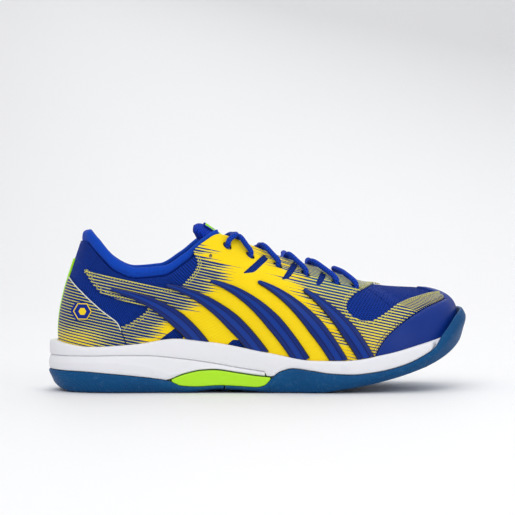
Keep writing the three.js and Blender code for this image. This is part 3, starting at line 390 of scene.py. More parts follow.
def outsole_rubber():
    f = Finish("outsole rubber", Roughness=0.5, Specular_IOR_Level=0.16)
    x, y, z = f.object_axes()
    away = f.plus(x, y)
    rising = f.wave(f.plus(away, z), DIAMOND_PITCH)
    falling = f.wave(f.minus(away, z), DIAMOND_PITCH)
    diamonds = f.times(rising, falling)
    cloud = f.noise(60.0)
    worn = f.ramp(f.noise(420.0, 4.0), 0.5, 0.75)
    base = f.mix(cloud, (0.0, 0.045, 0.155), (0.0, 0.075, 0.22))
    # The raised diamonds are painted a lighter blue: a painted highlight on their tops.
    lit_diamonds = f.mix(f.times(diamonds, 0.35), base, (0.008, 0.16, 0.4))
    dusty = f.mix(f.times(worn, 0.12), lit_diamonds, (0.12, 0.25, 0.42))
    f.colour(dusty)
    f.roughness(f.ramp(diamonds, 0.0, 1.0, 0.42, 0.58))
    f.relief(f.plus(diamonds, f.times(worn, 0.3)), 0.00022)
    return f.material


rubber = outsole_rubber()


def up_wall(share):
    """Height at a share of the side wall, from the ground to the rubber's top edge."""
    return lambda x: tread_line(x) + share * (rubber_line(x) - tread_line(x))


def tread(name, low, high, steps):
    lines = [
        sole_line(TREAD_BEVEL, lambda x: tread_line(x) + LUG_HEIGHT * 0.8),
        *(sole_line(inset, up_wall(share)) for inset, share in ((4.6, 0.04), (2.0, 0.28), (0.2, 0.62))),
        sole_line(lambda s: top_inset(s) - 0.1, lambda x: rubber_line(x) - 0.5),
        sole_line(lambda s: top_inset(s) + 0.35, rubber_line),
        sole_line(inside_wall, rubber_line),
        sole_line(lambda s: np.maximum(inside_wall(s), TREAD_WALL + 1), floor_top),
    ]
    points, faces = sole_body(np.linspace(low, high, steps), lines, 6)
    return new_piece(name, points, faces, rubber, "outsole_rubber", angle=50)


FLEX_GAP = 0.0015
tread("outsole_heel", 0, TREAD_SPLIT - FLEX_GAP, 120)
tread("outsole_forefoot", TREAD_SPLIT + FLEX_GAP, 1, 170)


def repeated(name, seats, turns, form, sizes, material):
    """Many small like shapes, set by a node tree on seats in millimetres, each with its own turn."""
    cloud = bpy.data.meshes.new(name + "_seats")
    cloud.from_pydata(((np.asarray(seats, float) + np.array(place)) / 1000).tolist(), [], [])
    turn = cloud.attributes.new("turn", "FLOAT_VECTOR", "POINT")
    turn.data.foreach_set("vector", np.asarray(turns, np.float32).ravel())
    piece = bpy.data.objects.new(name, cloud)
    bpy.context.scene.collection.objects.link(piece)
    tree = bpy.data.node_groups.new(name + "_nodes", "GeometryNodeTree")
    tree.interface.new_socket("Geometry", in_out="INPUT", socket_type="NodeSocketGeometry")
    for label, value in zip(("Length", "Width", "Height"), sizes):
        socket = tree.interface.new_socket(label, in_out="INPUT", socket_type="NodeSocketFloat")
        socket.default_value = value / 1000
    tree.interface.new_socket("Geometry", in_out="OUTPUT", socket_type="NodeSocketGeometry")

    def node(kind, **inputs):
        made = tree.nodes.new(kind)
        for key, value in inputs.items():
            socket = made.inputs[key.replace("_", " ")]
            if isinstance(value, bpy.types.NodeSocket):
                tree.links.new(value, socket)
            else:
                socket.default_value = value
        return made

    into, out = node("NodeGroupInput"), node("NodeGroupOutput")
    length, width, height = (into.outputs[label] for label in ("Length", "Width", "Height"))
    size = node("ShaderNodeCombineXYZ", X=length, Y=width, Z=height)
    if form == "lug":
        shape = node("GeometryNodeMeshCone", Vertices=6, Radius_Top=0.4, Radius_Bottom=0.5, Depth=1.0)
        shape = node("GeometryNodeTransform", Geometry=shape.outputs[0], Translation=(0, 0, -1.0))
    else:
        shape = node("GeometryNodeMeshUVSphere", Segments=8, Rings=5, Radius=0.5)
    sized = node("GeometryNodeTransform", Geometry=shape.outputs[0], Scale=size.outputs[0])
    own = node("GeometryNodeInputNamedAttribute", Name="turn")
    own.data_type = "FLOAT_VECTOR"
    geometry_in = into.outputs["Geometry"]
    spread = node("GeometryNodeInstanceOnPoints", Points=geometry_in, Instance=sized.outputs[0])
    tree.links.new(own.outputs[0], spread.inputs["Rotation"])
    real = node("GeometryNodeRealizeInstances", Geometry=spread.outputs[0])
    skin = node("GeometryNodeSetMaterial", Geometry=real.outputs[0], Material=material)
    tree.links.new(skin.outputs[0], out.inputs[0])
    step = piece.modifiers.new("nodes", "NODES")
    step.node_group = tree
    made = bpy.data.meshes.new_from_object(piece.evaluated_get(bpy.context.evaluated_depsgraph_get()))
    piece.modifiers.remove(step)
    piece.data = made
    made.name = name
    made.shade_smooth()
    if form == "lug":
        made.set_sharp_from_angle(angle=math.radians(30))
    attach(piece, "shoe")


def tread_lugs(name, low, high):
    """Staggered rows of lugs over the flat of a tread."""
    seats, turns = [], []
    edge = TREAD_BEVEL + LUG_MARGIN
    for row, x in enumerate(np.arange(low, high, LUG_ROW)):
        left, right = (float(plan_at(around(side, station_at(x)), edge)[1]) for side in (LATERAL, MEDIAL))
        tilt = math.atan2(float(tread_line(x + 1) - tread_line(x - 1)), 2)
        for y in np.arange(left + (row % 2) * LUG_SPACING / 2, right, LUG_SPACING):
            seats.append((x, y, float(tread_line(x)) + LUG_HEIGHT * 0.9))
            turns.append((0, -tilt, 0))
    repeated(name, seats, turns, "lug", LUG_SIZE, rubber)


tread_lugs("heel_lugs", 16, 108)
tread_lugs("forefoot_lugs", 132, 268)

# ---- Midfoot shank ----
# A moulded plastic plate that bridges the two treads under the arch. It is lime and satin, with a soft rolled
# top edge where it laps up the midsole.
SHANK_FLOOR = 2.4
SHANK_WALL = 6.5
SHANK_INSET = 0.9
SHANK_START = station_at(86)
SHANK_END = station_at(154)
shank_line = smooth_line(
    (84, 8.8), (94.5, 12.9), (107, 15.6), (115, 16), (132, 13.8), (144.5, 12), (155.5, 10.9)
)


def shank_bottom(x):
    return floor_top(x) + GLUE


def shank_edge(x):
    return np.maximum(rubber_line(x), floor_top(x)) + GLUE


def shank_top(x):
    return np.maximum(shank_line(x), shank_edge(x) + 0.8)


def plain(name, dark, light, cloud, grain=None, depth=0.0, rough=None, **shader):
    """One colour with a faint cloud in it, and a fine grain of this depth and range of roughness."""
    f = Finish(name, **shader)
    f.colour(f.mix(f.noise(cloud), dark, light))
    if grain:
        bumps = f.noise(*grain)
        f.relief(bumps, depth)
        if rough:
            f.roughness(f.ramp(bumps, 0.3, 0.7, *rough))
    return f.material


shank_lime = plain(
    "lime shank plastic", (0.42, 0.83, 0.004), (0.5, 0.9, 0.01), 35.0, (900.0, 2.0), 0.00003, (0.28, 0.42),
    Specular_IOR_Level=0.5, Subsurface_Weight=0.05,
)
inner = SHANK_INSET + SHANK_WALL
points, faces = sole_body(
    np.linspace(SHANK_START, SHANK_END, 80),
    [
        sole_line(TREAD_WALL + 3, shank_bottom),
        sole_line(TREAD_WALL + 2.4, lambda x: np.maximum(shank_edge(x), shank_bottom(x))),
        sole_line(SHANK_INSET + 0.3, shank_edge),
        sole_line(SHANK_INSET, lambda x: shank_edge(x) + 0.35),
        sole_line(SHANK_INSET - 0.1, lambda x: (shank_edge(x) + shank_top(x)) / 2),
        sole_line(SHANK_INSET, lambda x: shank_top(x) - 0.5),
        sole_line(SHANK_INSET + 0.5, shank_top),
        sole_line(inner, shank_top),
        sole_line(inner, lambda x: np.minimum(shank_bottom(x) + SHANK_FLOOR, shank_top(x) - 0.2)),
    ],
    7,
)
new_piece("midfoot_shank", points, faces, shank_lime, "shank_plastic")

# ---- Midsole ----
# Two glued layers of moulded foam: a firm wedge under the heel, and a carrier over the whole length, whose
# rim comes up round the foot of the upper. A crease shows between them, and the wedge's side has a facet.
LIP = 2.3
FOAM_INSET = 0.9
BOWL_INSET = 12
BOWL_DEPTH = 8
MESH, STIFFENER, LINING, OVERLAY = 1.0, 1.1, 1.1, 0.8
OVERLAY_TOP = GLUE + OVERLAY
FOOT_LIFT = 0.8
groove_line = smooth_line(
    (0, 25.7), (28, 26.1), (49, 26.5), (70, 26.3), (90, 24.5), (111, 21.7), (132, 18), (153, 14.9)
)
bed_line = smooth_line(
    (0, 26), (28, 25.5), (60, 26.5), (90, 28.5), (115, 27), (153, 20.5), (186, 16), (205, 16),
    (236, 20.5), (257, 26), (278, 32.5), (287, 36.8), (300, 41.5),
)
lip_height = smooth_line(
    (0, 12), (17, 8), (28, 6.8), (60, 7.6), (90, 9.5), (115, 8.4), (153, 7.8), (186, 6.8), (236, 6.6),
    (262, 6), (278, 5.2), (300, 3),
)
WEDGE_END = station_at(150)
over_shank = smooth_line((0, 0), (79, 0), (83, 1), (157, 1), (161, 0), (300, 0))
at_shank = smooth_line(
    (0, 0), (station_at(80), 0), (SHANK_START, 1), (SHANK_END, 1), (station_at(160), 0), (1, 0)
)
behind_bumper = smooth_line((0, 0), (station_at(268), 0), (station_at(275), 1), (1.001, 1))
over_wedge = smooth_line((0, 1), (80, 1), (150, 0.25))


def foam_bottom(x):
    return floor_top(x) + GLUE + 0.1 + over_shank(x) * (SHANK_FLOOR + GLUE)


def foam_edge(x):
    shank = np.where((x > 82) & (x < 158), shank_line(x) + 0.6, 0)
    return np.maximum(np.maximum(shank, rubber_line(x) + 0.2), foam_bottom(x)) + GLUE


def inside_rubber(s):
    step = SHANK_INSET + SHANK_WALL + GLUE - float(inside_wall(0.5))
    return inside_wall(s) + GLUE + 0.2 + 0.7 * (1 - at_toe(s)) + step * at_shank(s)


def foam_inset(s):
    return FOAM_INSET + (float(inside_wall(1.0)) + GLUE + 0.2 - FOAM_INSET) * behind_bumper(s)


def lip_top(x):
    return bed_line(x) + lip_height(x)


def wedge_top(x):
    return groove_line(x) - GLUE


def wedge_bowl(x):
    return wedge_top(x) - BOWL_DEPTH * over_wedge(x)


def midsole_foam():
    f = Finish("moulded white foam", Roughness=0.62, Specular_IOR_Level=0.25)
    f.set(f.shader, "Subsurface Weight", 0.12)
    f.set(f.shader, "Subsurface Radius", (0.004, 0.0035, 0.003))
    skin = f.noise(1400.0, 2.0)
    scuff = f.ramp(f.noise(90.0, 5.0), 0.62, 0.8)
    f.colour(f.mix(scuff, (0.83, 0.83, 0.86), (0.76, 0.76, 0.79)))
    f.roughness(f.ramp(skin, 0.3, 0.7, 0.55, 0.7))
    f.relief(skin, 0.00004)
    return f.material


foam = midsole_foam()
facet_share = smooth_line((0, 0.5), (45, 0.62), (70, 0.5), (95, 0.12), (150, 0.5))


def facet_height(x):
    """A line that falls across the wedge from the crease at the heel to the rubber at the arch."""
    return foam_edge(x) + facet_share(x) * (wedge_top(x) - foam_edge(x))


points, faces = sole_body(
    np.linspace(0, WEDGE_END + 0.001, 130),
    [
        sole_line(lambda s: inside_rubber(s) + 1, foam_bottom),
        sole_line(inside_rubber, foam_edge),
        sole_line(FOAM_INSET + 0.3, foam_edge),
        sole_line(FOAM_INSET - 0.1, lambda x: foam_edge(x) + 0.3),
        sole_line(FOAM_INSET - 0.75, lambda x: facet_height(x) - 0.4),
        sole_line(FOAM_INSET - 0.55, lambda x: facet_height(x) + 0.6),
        sole_line(FOAM_INSET + 0.35, lambda x: wedge_top(x) - 0.6),
        sole_line(FOAM_INSET + 1.0, wedge_top),
        sole_line(FOAM_INSET + BOWL_INSET, wedge_bowl),
    ],
    8,
)
new_piece("midsole_wedge", points, faces, foam, "midsole_foam")

# The upper stands on the footbed inside the carrier's rim. Its outer face is one smooth surface from its foot
# up to the collar, the throat and the ridge of the vamp, and its layers lie a depth below or above that.
# CREST is its top edge: share of the side, x, half width and height over the footbed. HANDLES shape the wall
# between foot and crest: share, rise and bulge at the foot, reach and fall at the crest.
CREST = [
    (0, 24, 0, 84.4), (0.08, 27, 17, 84), (0.16, 36, 27, 73.2), (0.22, 47, 31, 62.3),
    (0.28, 62, 33.5, 56.8), (0.35, 80, 34, 57.1), (0.41, 95, 32.5, 65.6), (0.46, 108, 29.5, 77),
    (0.5, 120, 25, 84), (0.56, 137, 20, 81.2), (0.62, 157, 16.5, 76.7), (0.69, 180, 14, 72.6),
    (0.76, 203, 11, 66), (0.81, 217, 6, 60.4), (0.84, 225, 0, 57), (0.9, 240, 0, 52.1),
    (0.95, 251, 0, 48.5), (1, 262, 0, 44.7),
]
HANDLES = [
    (0, 30, 6.5, 7, 25), (0.12, 27, 5, 6, 22), (0.3, 20, 3, 3, 18), (0.4, 27, 3, 4, 20),
    (0.5, 35, 2, 9, 17), (0.6, 34, 1, 14, 10), (0.7, 30, 0, 18, 5), (0.8, 28, 0, 20, 2),
    (0.84, 27, 0.5, 21, 1), (0.9, 24, 3, 24, 1.6), (0.95, 21, 5.6, 28, 2.2), (1, 20, 6.8, 31, 2.6),
]


def columns_of(rows):
    """A smooth line for each column of a table, over its first one."""
    first, *others = zip(*rows)
    return [smooth_line(*zip(first, column)) for column in others]


crest_x, crest_half, crest_height = columns_of(CREST)
foot_rise, foot_bulge, crest_reach, crest_fall = columns_of(HANDLES)
spine = smooth_line((0, 0), (150, 0), (225, 3), (262, 6.5), (300, 9))
FOOT_INSET = FOAM_INSET + LIP + GLUE + OVERLAY_TOP + 0.6
foot_inset = smooth_line(
    (0, FOOT_INSET + 4), (0.12, FOOT_INSET + 1), (0.3, FOOT_INSET), (0.75, FOOT_INSET),
    (0.83, FOOT_INSET + 2.2), (0.92, FOOT_INSET + 4), (1.001, FOOT_INSET + 4),
)
THROAT_TOP = 0.5
ROUND_STEP, UP_STEP = 0.004, 0.02


def surface(u, v):
    """Point of the upper's outer face at a share u round the plan and v from its foot to its top edge."""
    u, v = np.broadcast_arrays(np.mod(np.asarray(u, float), 1.0), np.asarray(v, float))
    outer_side = u <= toe_share
    s = np.where(outer_side, u / toe_share, (1 - u) / (1 - toe_share))
    side = np.where(outer_side, LATERAL, MEDIAL)
    fx, fy, ox, oy = plan_at(u, foot_inset(s))
    tx = crest_x(s)
    zero = np.zeros_like(ox)
    foot = np.stack([fx, fy, bed_line(fx) + FOOT_LIFT], axis=-1)
    top = np.stack([tx, spine(tx) + side * crest_half(s), bed_line(tx) + crest_height(s)], axis=-1)
    out = np.stack([ox, oy, zero], axis=-1)
    up = np.stack([zero, zero, zero + 1], axis=-1)
    low = foot + out * foot_bulge(s)[..., None] + up * foot_rise(s)[..., None]
    high = top + out * crest_reach(s)[..., None] - up * crest_fall(s)[..., None]
    v = v[..., None]
    w = 1 - v
    return foot * w**3 + low * 3 * w * w * v + high * 3 * w * v * v + top * v**3


def normal(u, v):
    v = np.clip(v, UP_STEP, 0.97)
    along = surface(u + ROUND_STEP, v) - surface(u - ROUND_STEP, v)
    up = surface(u, v + UP_STEP) - surface(u, v - UP_STEP)
    n = np.cross(along, up)
    return n / np.linalg.norm(n, axis=-1, keepdims=True)


def skin(u, v, depth=0.0):
    u, v = np.broadcast_arrays(np.asarray(u, float), np.asarray(v, float))
    return surface(u, v) + normal(u, v) * np.asarray(depth, float)[..., None]


AGAINST = OVERLAY_TOP + GLUE + 0.1


def rim(share):
    """Line of the carrier that stands against the upper, at a share of the rim's height."""

    def at(side, s):
        u = around(side, s)
        foot = skin(u, 0 * s, AGAINST)
        wanted = foot[:, 2] + share * (lip_top(foot[:, 0]) - foot[:, 2])
        low, high = np.zeros_like(s), np.full_like(s, 0.5)
        for _ in range(22):
            middle = (low + high) / 2
            short = skin(u, middle, AGAINST)[:, 2] < wanted
            low, high = np.where(short, middle, low), np.where(short, high, middle)
        return skin(u, (low + high) / 2, AGAINST)

    return at


def wall_line(inset, drop):
    """Line up the outside of the carrier, this far below the rim's top."""
    top = rim(1)

    def at(side, s):
        x, y, _, _ = plan_at(around(side, s), foam_inset(s) + inset)
        return np.stack([x, y, top(side, s)[:, 2] - drop], axis=-1)

    return at


def rim_foot(side, s):
    foot = skin(around(side, s), 0 * s, AGAINST)
    foot[:, 2] = bed_line(foot[:, 0])
    return foot


def carrier_line(insets, heights):
    """A line of the carrier that has one inset and height over the wedge, and another past it."""
    over, past = (sole_line(inset, height) for inset, height in zip(insets, heights))

    def at(side, s):
        return np.where((s <= WEDGE_END + 1e-6)[:, None], over(side, s), past(side, s))

    return at


def past_edge(x):
    return np.minimum(foam_edge(x), lip_top(x) - 0.6)


def carrier_edge(inset, lift):
    """A line along the carrier's lower edge, this much above it."""
    heights = (lambda x: groove_line(x) + lift, lambda x: past_edge(x) + lift)
    return carrier_line((inset, inset) if callable(inset) else inset, heights)


stations = np.concatenate([np.linspace(0, WEDGE_END, 100), np.linspace(WEDGE_END, 1, 110)[1:]])
points, faces = sole_body(
    stations,
    [
        carrier_line(
            (FOAM_INSET + BOWL_INSET, lambda s: inside_rubber(s) + 1),
            (lambda x: wedge_bowl(x) + GLUE, foam_bottom),
        ),
        carrier_edge((FOAM_INSET + 1.0, inside_rubber), 0),
        carrier_edge(lambda s: foam_inset(s) + 0.5, 0.1),
        carrier_edge(lambda s: foam_inset(s) + 0.05, 0.8),
        wall_line(-0.1, 3.0),
        wall_line(0.2, 1.0),
        wall_line(0.7, 0.2),
        rim(1),
        rim(0.5),
        rim_foot,
    ],
    8,
)
new_piece("midsole_carrier", points, faces, foam, "midsole_foam", angle=55)

# ---- Board and sock liner ----
# A fibre board closes the bottom of the upper. On it lies a loose, cupped foam liner with a brushed knit
# cover. The heel gel pad keeps its own mesh and gets its material here.
BOARD, SOCK_FOAM, SOCK_COVER, SOCK_CUP = 1.2, 3.6, 0.9, 5.0
LINING_TOP = -(MESH + GLUE + STIFFENER + GLUE)
LINING_BASE = LINING_TOP - LINING
cup_rise = smooth_line((0, 1), (0.5, 1), (0.72, 0.1), (1, 0))


def board_inset(s):
    return foot_inset(s) - LINING_BASE + GLUE


def sock_top(x):
    return bed_line(x) + GLUE + BOARD + GLUE + SOCK_FOAM


def cupped(inset, cup, lift):
    """A line of the sock liner, whose edge rises by the cup round the heel."""

    def at(side, s):
        x, y, _, _ = plan_at(around(side, s), board_inset(s) + inset)
        return np.stack([x, y, sock_top(x) + lift + cup * cup_rise(s)], axis=-1)

    return at


def cover_line(inset, cup, lift):
    return cupped(1.2 + inset, cup * (SOCK_CUP + 0.2), GLUE + 0.15 + lift)


def woven(name, base, light, dark, pitch, depth, rough=0.85, sheen=0.3):
    """A close knit or weave that follows the piece's own surface."""
    f = Finish(name, Roughness=rough, Specular_IOR_Level=0.1, Sheen_Weight=sheen * 0.1, Sheen_Roughness=0.5)
    a, b = f.cloth_axes()
    wobble = f.times(f.noise(300.0, 2.0), pitch * 0.35)
    warp = f.wave(f.plus(a, wobble), pitch)
    weft = f.wave(f.plus(b, wobble), pitch * 0.8)
    over = f.most(warp, weft)
    # The threads are painted light where they pass over and dark where they dip under: painted highlight and
    # shade.
    colour = f.mix(f.ramp(over, 0.35, 0.95), dark, light)
    f.colour(f.mix(f.times(f.noise(25.0), 0.5), colour, base))
    f.relief(over, depth)
    return f.material


sock_knit = woven(
    "sock liner knit", (0.004, 0.03, 0.32), (0.01, 0.06, 0.5), (0.001, 0.01, 0.14), 1.3, 0.0003
)
stations = np.linspace(0, 1, 150)
points, faces = sole_body(
    stations,
    [
        cover_line(4.8, 0, 0),
        cover_line(1.8, 1, 0),
        cover_line(2.0, 1, SOCK_COVER * 0.7),
        cover_line(2.4, 1, SOCK_COVER),
        cover_line(4.9, 0.08, SOCK_COVER),
        cover_line(9, 0, SOCK_COVER),
    ],
    6,
)
new_piece("sockliner_cover", points, faces, sock_knit, "sock_fabric", "sockliner", points[:, :2])
points, faces = sole_body(
    stations,
    [
        sole_line(lambda s: board_inset(s) + 1.3, lambda x: bed_line(x) + 2 * GLUE + BOARD),
        cupped(1.2, SOCK_CUP - 0.5, 0),
        cupped(2.5, SOCK_CUP, 0),
        cupped(5.7, 0, 0),
    ],
    4,
)


def cell_foam(name, pale, deep):
    """Open foam: pale, matt and pitted with small cells."""
    f = Finish(name, Roughness=0.92)
    cells = f.add("TexVoronoi", {"Vector": f.add("TexCoord", output=3), "Scale": 1100.0})
    # The cells are painted darker towards their pits: painted shade in the hollows.
    f.colour(f.mix(f.ramp(cells, 0.1, 0.7), deep, pale))
    f.relief(cells, 0.0003)
    return f.material


sock_foam = cell_foam("sock liner foam", (0.02, 0.05, 0.26), (0.006, 0.016, 0.12))
new_piece("sockliner_foam", points, faces, sock_foam, "sock_foam", "sockliner")


def fibre_board(name, pale, deep):
    """Pressed fibre: short flecks in a dry matt sheet."""
    f = Finish(name, Roughness=0.9)
    flecks = f.noise(700.0, 6.0)
    f.colour(f.mix(f.ramp(flecks, 0.35, 0.7), deep, pale))
    f.relief(flecks, 0.0002)
    return f.material


points, faces = sole_body(
    stations,
    [sole_line(board_inset, lambda x, up=up: bed_line(x) + GLUE + up) for up in (0, BOARD)],
    2,
)
board_fibre = fibre_board("lasting board", (0.7, 0.66, 0.56), (0.5, 0.45, 0.36))
new_piece("lasting_board", points, faces, board_fibre, "board")
gel = plain(
    "heel gel", (0.25, 0.45, 0.75), (0.4, 0.62, 0.85), 80.0, (200.0,), 0.0001,
    Roughness=0.15, Transmission_Weight=0.4, IOR=1.42,
)
gel_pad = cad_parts["heel_gel_pad"]
gel_pad.data.materials.clear()
gel_pad.data.materials.append(gel)

# ---- Quarters, vamp and their linings ----
# The base of the upper is an open knitted mesh, cut as two quarters and a vamp. A brushed knit lining backs
# it, and between them lie the heel counter, toe puff, eyestay tapes and collar foam.
ROUND = lengths_along(plan)[-1]
HALF_ROUND = 390
HIGH = 92.0
SEAM = 0.0002
EASE_WIDTH = 0.9
UNDER_CREST = 3.4
VAMP_START = station_at(259)


def under_roll(s):
    return 1 - (UNDER_CREST + 2 * GLUE) / (3 * crest_fall(s))


def collar_top(s):
    return np.where(s < THROAT_TOP, under_roll(s), 1.0)


def patch_frame(side, s, v):
    """Stations and rises of one side as millimetres round the plan and up the upper."""
    return np.stack([around(side, s) * ROUND, np.asarray(v, float) * HIGH], axis=-1)


def resampled(points, step, closed=True):
    """The same polyline with even short steps."""
    p = np.array(points, float)
    if closed:
        p = np.vstack([p, p[:1]])
    along = lengths_along(p)
    count = max(int(along[-1] / step), 8)
    at = np.linspace(0, along[-1], count, endpoint=not closed)
    return follow(at, along, p)


def rounded(points, step=1.0, reach=2):
    """A closed outline with its corners eased."""
    p = resampled(points, step)
    return sum(np.roll(p, k, axis=0) for k in range(-reach, reach + 1)) / (2 * reach + 1)


def inside(points, loops):
    """Which points lie in the outline and outside its holes."""
    hit = np.zeros(len(points), bool)
    x, y = points[:, 0], points[:, 1]
    for loop in loops:
        nxt = np.roll(loop, -1, axis=0)
        for (ax, ay), (bx, by) in zip(loop, nxt):
            crosses = (ay > y) != (by > y)
            hit ^= crosses & (x < (bx - ax) * (y - ay) / (by - ay + 1e-12) + ax)
    return hit


def to_edge(points, loops):
    """Distance of each point from the nearest outline."""
    best = np.full(len(points), 1e9)
    for loop in loops:
        nxt = np.roll(loop, -1, axis=0)
        for a, b in zip(loop, nxt):
            d = b - a
            t = np.clip(((points - a) @ d) / max(d @ d, 1e-12), 0, 1)
            best = np.minimum(best, np.hypot(*(points - a - t[:, None] * d).T))
    return best


def patch(loops, depth_in, depth_out, pitch, soft=0.3):
    """Points, faces and UVs of a cut piece of sheet that lies on the upper, with eased upper edges."""
    low, high = loops[0].min(0), loops[0].max(0)
    ticks = (np.arange(a + pitch / 2, b, pitch) for a, b in zip(low, high))
    grid = np.stack(np.meshgrid(*ticks), -1).reshape(-1, 2)
    grid = grid[inside(grid, loops)]
    grid = grid[to_edge(grid, loops) > pitch * 0.55]
    rims = []
    for loop in loops:
        way = np.roll(loop, -1, axis=0) - np.roll(loop, 1, axis=0)
        across = np.stack([-way[:, 1], way[:, 0]], axis=-1)
        across /= np.maximum(np.linalg.norm(way, axis=1), 1e-9)[:, None]
        for offset in (0.4, EASE_WIDTH, -0.4, -EASE_WIDTH):
            ring = loop + across * offset
            ring = ring[inside(ring, loops)]
            rims.append(ring[to_edge(ring, loops) > abs(offset) * 0.8])
    flat = np.vstack([*loops, *rims, grid])
    edges, start = [], 0
    for loop in loops:
        n = len(loop)
        edges += [(start + i, start + (i + 1) % n) for i in range(n)]
        start += n
    made = geometry.delaunay_2d_cdt([Vector(p) for p in flat], edges, [], 0, 1e-5, False)
    flat = np.array([tuple(p) for p in made[0]])
    tris = np.array(made[2])
    tris = tris[inside(flat[tris].mean(axis=1), loops)]
    used, tris = np.unique(tris, return_inverse=True)
    tris = tris.reshape(-1, 3)
    flat = flat[used]
    ease = soft * (1 - np.clip(to_edge(flat, loops) / EASE_WIDTH, 0, 1)) ** 2
    u, v = flat[:, 0] / ROUND, np.clip(flat[:, 1] / HIGH, 0, 1)
    top = skin(u, v, depth_out - ease)
    bottom = skin(u, v, np.full(len(flat), float(depth_in)))
    n = len(flat)
    sides = {}
    for a, b, c in tris:
        for e in ((a, b), (b, c), (c, a)):
            if (e[1], e[0]) in sides:
                del sides[(e[1], e[0])]
            else:
                sides[e] = True
    faces = [tuple(t) for t in tris] + [(c + n, b + n, a + n) for a, b, c in tris]
    faces += [(b, a, a + n, b + n) for a, b in sides]
    return np.vstack([top, bottom]), faces, np.vstack([flat, flat])


MESH_BAND = (-MESH, 0)
STIFF_BAND = (-MESH - GLUE - STIFFENER, -MESH - GLUE)
LINING_BAND = (LINING_BASE, LINING_TOP)
FILM_BAND = (GLUE * 0.4, OVERLAY_TOP)


def layer(name, loops, band, pitch, material, slot, soft=0.3):
    """A cut layer of the upper between the two depths of its band."""
    points, faces, uv = patch(loops, *band, pitch, soft)
    new_piece(name, points, faces, material, slot, uv=uv, angle=50)


def strip_outline(side, low, high, bottom, top, step=2.5):
    """Outline of a layer of one side between two stations and two rises, which may follow the station."""
    s = np.linspace(low, high, max(int((high - low) * HALF_ROUND / step), 4))

    def rise(q, r):
        return q(r) if callable(q) else np.full_like(r, q)

    up = np.linspace(0, 1, 34)[1:-1]
    ends = []
    for at in (high, low):
        a, b = (float(rise(q, np.array([at]))[0]) for q in (bottom, top))
        column = patch_frame(side, np.full_like(up, at), a + (b - a) * up)
        ends.append(column if at == high else column[::-1])
    lower = patch_frame(side, s, rise(bottom, s))
    upper = patch_frame(side, s, rise(top, s))[::-1]
    return np.vstack([lower, ends[0], upper, ends[1]])


# Patterns are drawn as x and z on the side view. A table finds the station and rise nearest to each point on
# the upper's outer face, and locate() moves on from there to the point itself.
table_s, table_v = np.meshgrid(np.linspace(0.0, 1.0, 501), np.linspace(0, 1, 201), indexing="ij")
table = surface(around(LATERAL, table_s), table_v)[..., [0, 2]].reshape(-1, 2)
tree = kdtree.KDTree(len(table))
for i, (x, z) in enumerate(table):
    tree.insert((x, z, 0), i)
tree.balance()
table_s, table_v = table_s.ravel(), table_v.ravel()


NUDGE = 1e-4
EDGE_ON = 400  # below this the face is seen so nearly edge on that a point isn't moved


def side_view(s, v):
    return surface(around(LATERAL, s), v)[..., [0, 2]]


def crossed(a, b):
    return a[:, 0] * b[:, 1] - a[:, 1] * b[:, 0]


def locate(pattern):
    """Stations and rises of pattern points [x, z]."""
    pattern = np.asarray(pattern, float).reshape(-1, 2)
    nearest = [tree.find((x, z, 0))[1] for x, z in pattern]
    s, v = table_s[nearest].copy(), table_v[nearest].copy()
    for _ in range(4):
        here = side_view(s, v)
        ds = (side_view(s + NUDGE, v) - here) / NUDGE
        dv = (side_view(s, v + NUDGE) - here) / NUDGE
        det = crossed(ds, dv)
        det = np.where(np.abs(det) < EDGE_ON, np.inf, det)
        miss = pattern - here
        s = np.clip(s + np.clip(crossed(miss, dv) / det, -0.004, 0.004), 0, 1)
        v = np.clip(v + np.clip(crossed(ds, miss) / det, -0.01, 0.01), 0, 1)
    return s, v


EYELETS = [(125.2, 102.2), (141.4, 95.4), (161, 88.4), (180.6, 82.2), (202.1, 76), (216, 73)]
eyelet_s, eyelet_v = locate(EYELETS)
spare_s, spare_v = locate([(113.3, 95.3)])


def eyelet_loops(side, radius=3.0, spare=1.3):
    """Round holes at the eyelets of one side."""
    loops = []
    turn = np.linspace(0, 2 * np.pi, 20, endpoint=False)
    sizes = [radius] * len(eyelet_s) + [spare]
    for s, v, r in zip([*eyelet_s, *spare_s], [*eyelet_v, *spare_v], sizes):
        u = float(around(side, s))
        along = np.linalg.norm(surface(u + 1e-3, v) - surface(u - 1e-3, v)) / 2e-3
        up = np.linalg.norm(surface(u, v + 1e-3) - surface(u, v - 1e-3)) / 2e-3
        ring = np.stack([(u + r * np.cos(turn) / along) * ROUND, (v + r * np.sin(turn) / up) * HIGH], axis=-1)
        loops.append(ring)
    return loops


def open_mesh():
    """Open knit: bright ribs in a slanted grid, with the gaps between them painted near black as shade."""
    f = Finish("open knitted mesh", Roughness=0.75, Specular_IOR_Level=0.08, Sheen_Weight=0.02)
    a, b = f.cloth_axes()
    wobble = f.times(f.noise(220.0, 2.0), 0.5)
    slant = f.plus(f.scaled(b, 0.35, a), wobble)
    rib = f.wave(slant, 2.1)
    rung = f.wave(f.plus(f.scaled(a, 0.12, b), f.times(wobble, 0.6)), 1.55)
    hole = f.times(f.ramp(rib, 0.15, 0.6, 1.0, 0.0), f.ramp(rung, 0.2, 0.7, 1.0, 0.0))
    thread = f.wave(f.plus(a, b), 0.5)
    lit = f.mix(f.times(thread, 0.5), (0.003, 0.04, 0.34), (0.008, 0.08, 0.56))
    shade = f.mix(f.times(rung, 0.35), lit, (0.002, 0.02, 0.26))
    # The holes are painted near black: painted shade where the lining behind them lies in shadow.
    f.colour(f.mix(hole, shade, (0.001, 0.004, 0.05)))
    height = f.minus(f.most(rib, f.times(rung, 0.8)), hole)
    f.relief(f.scaled(thread, 0.12, height), 0.0007)
    return f.material


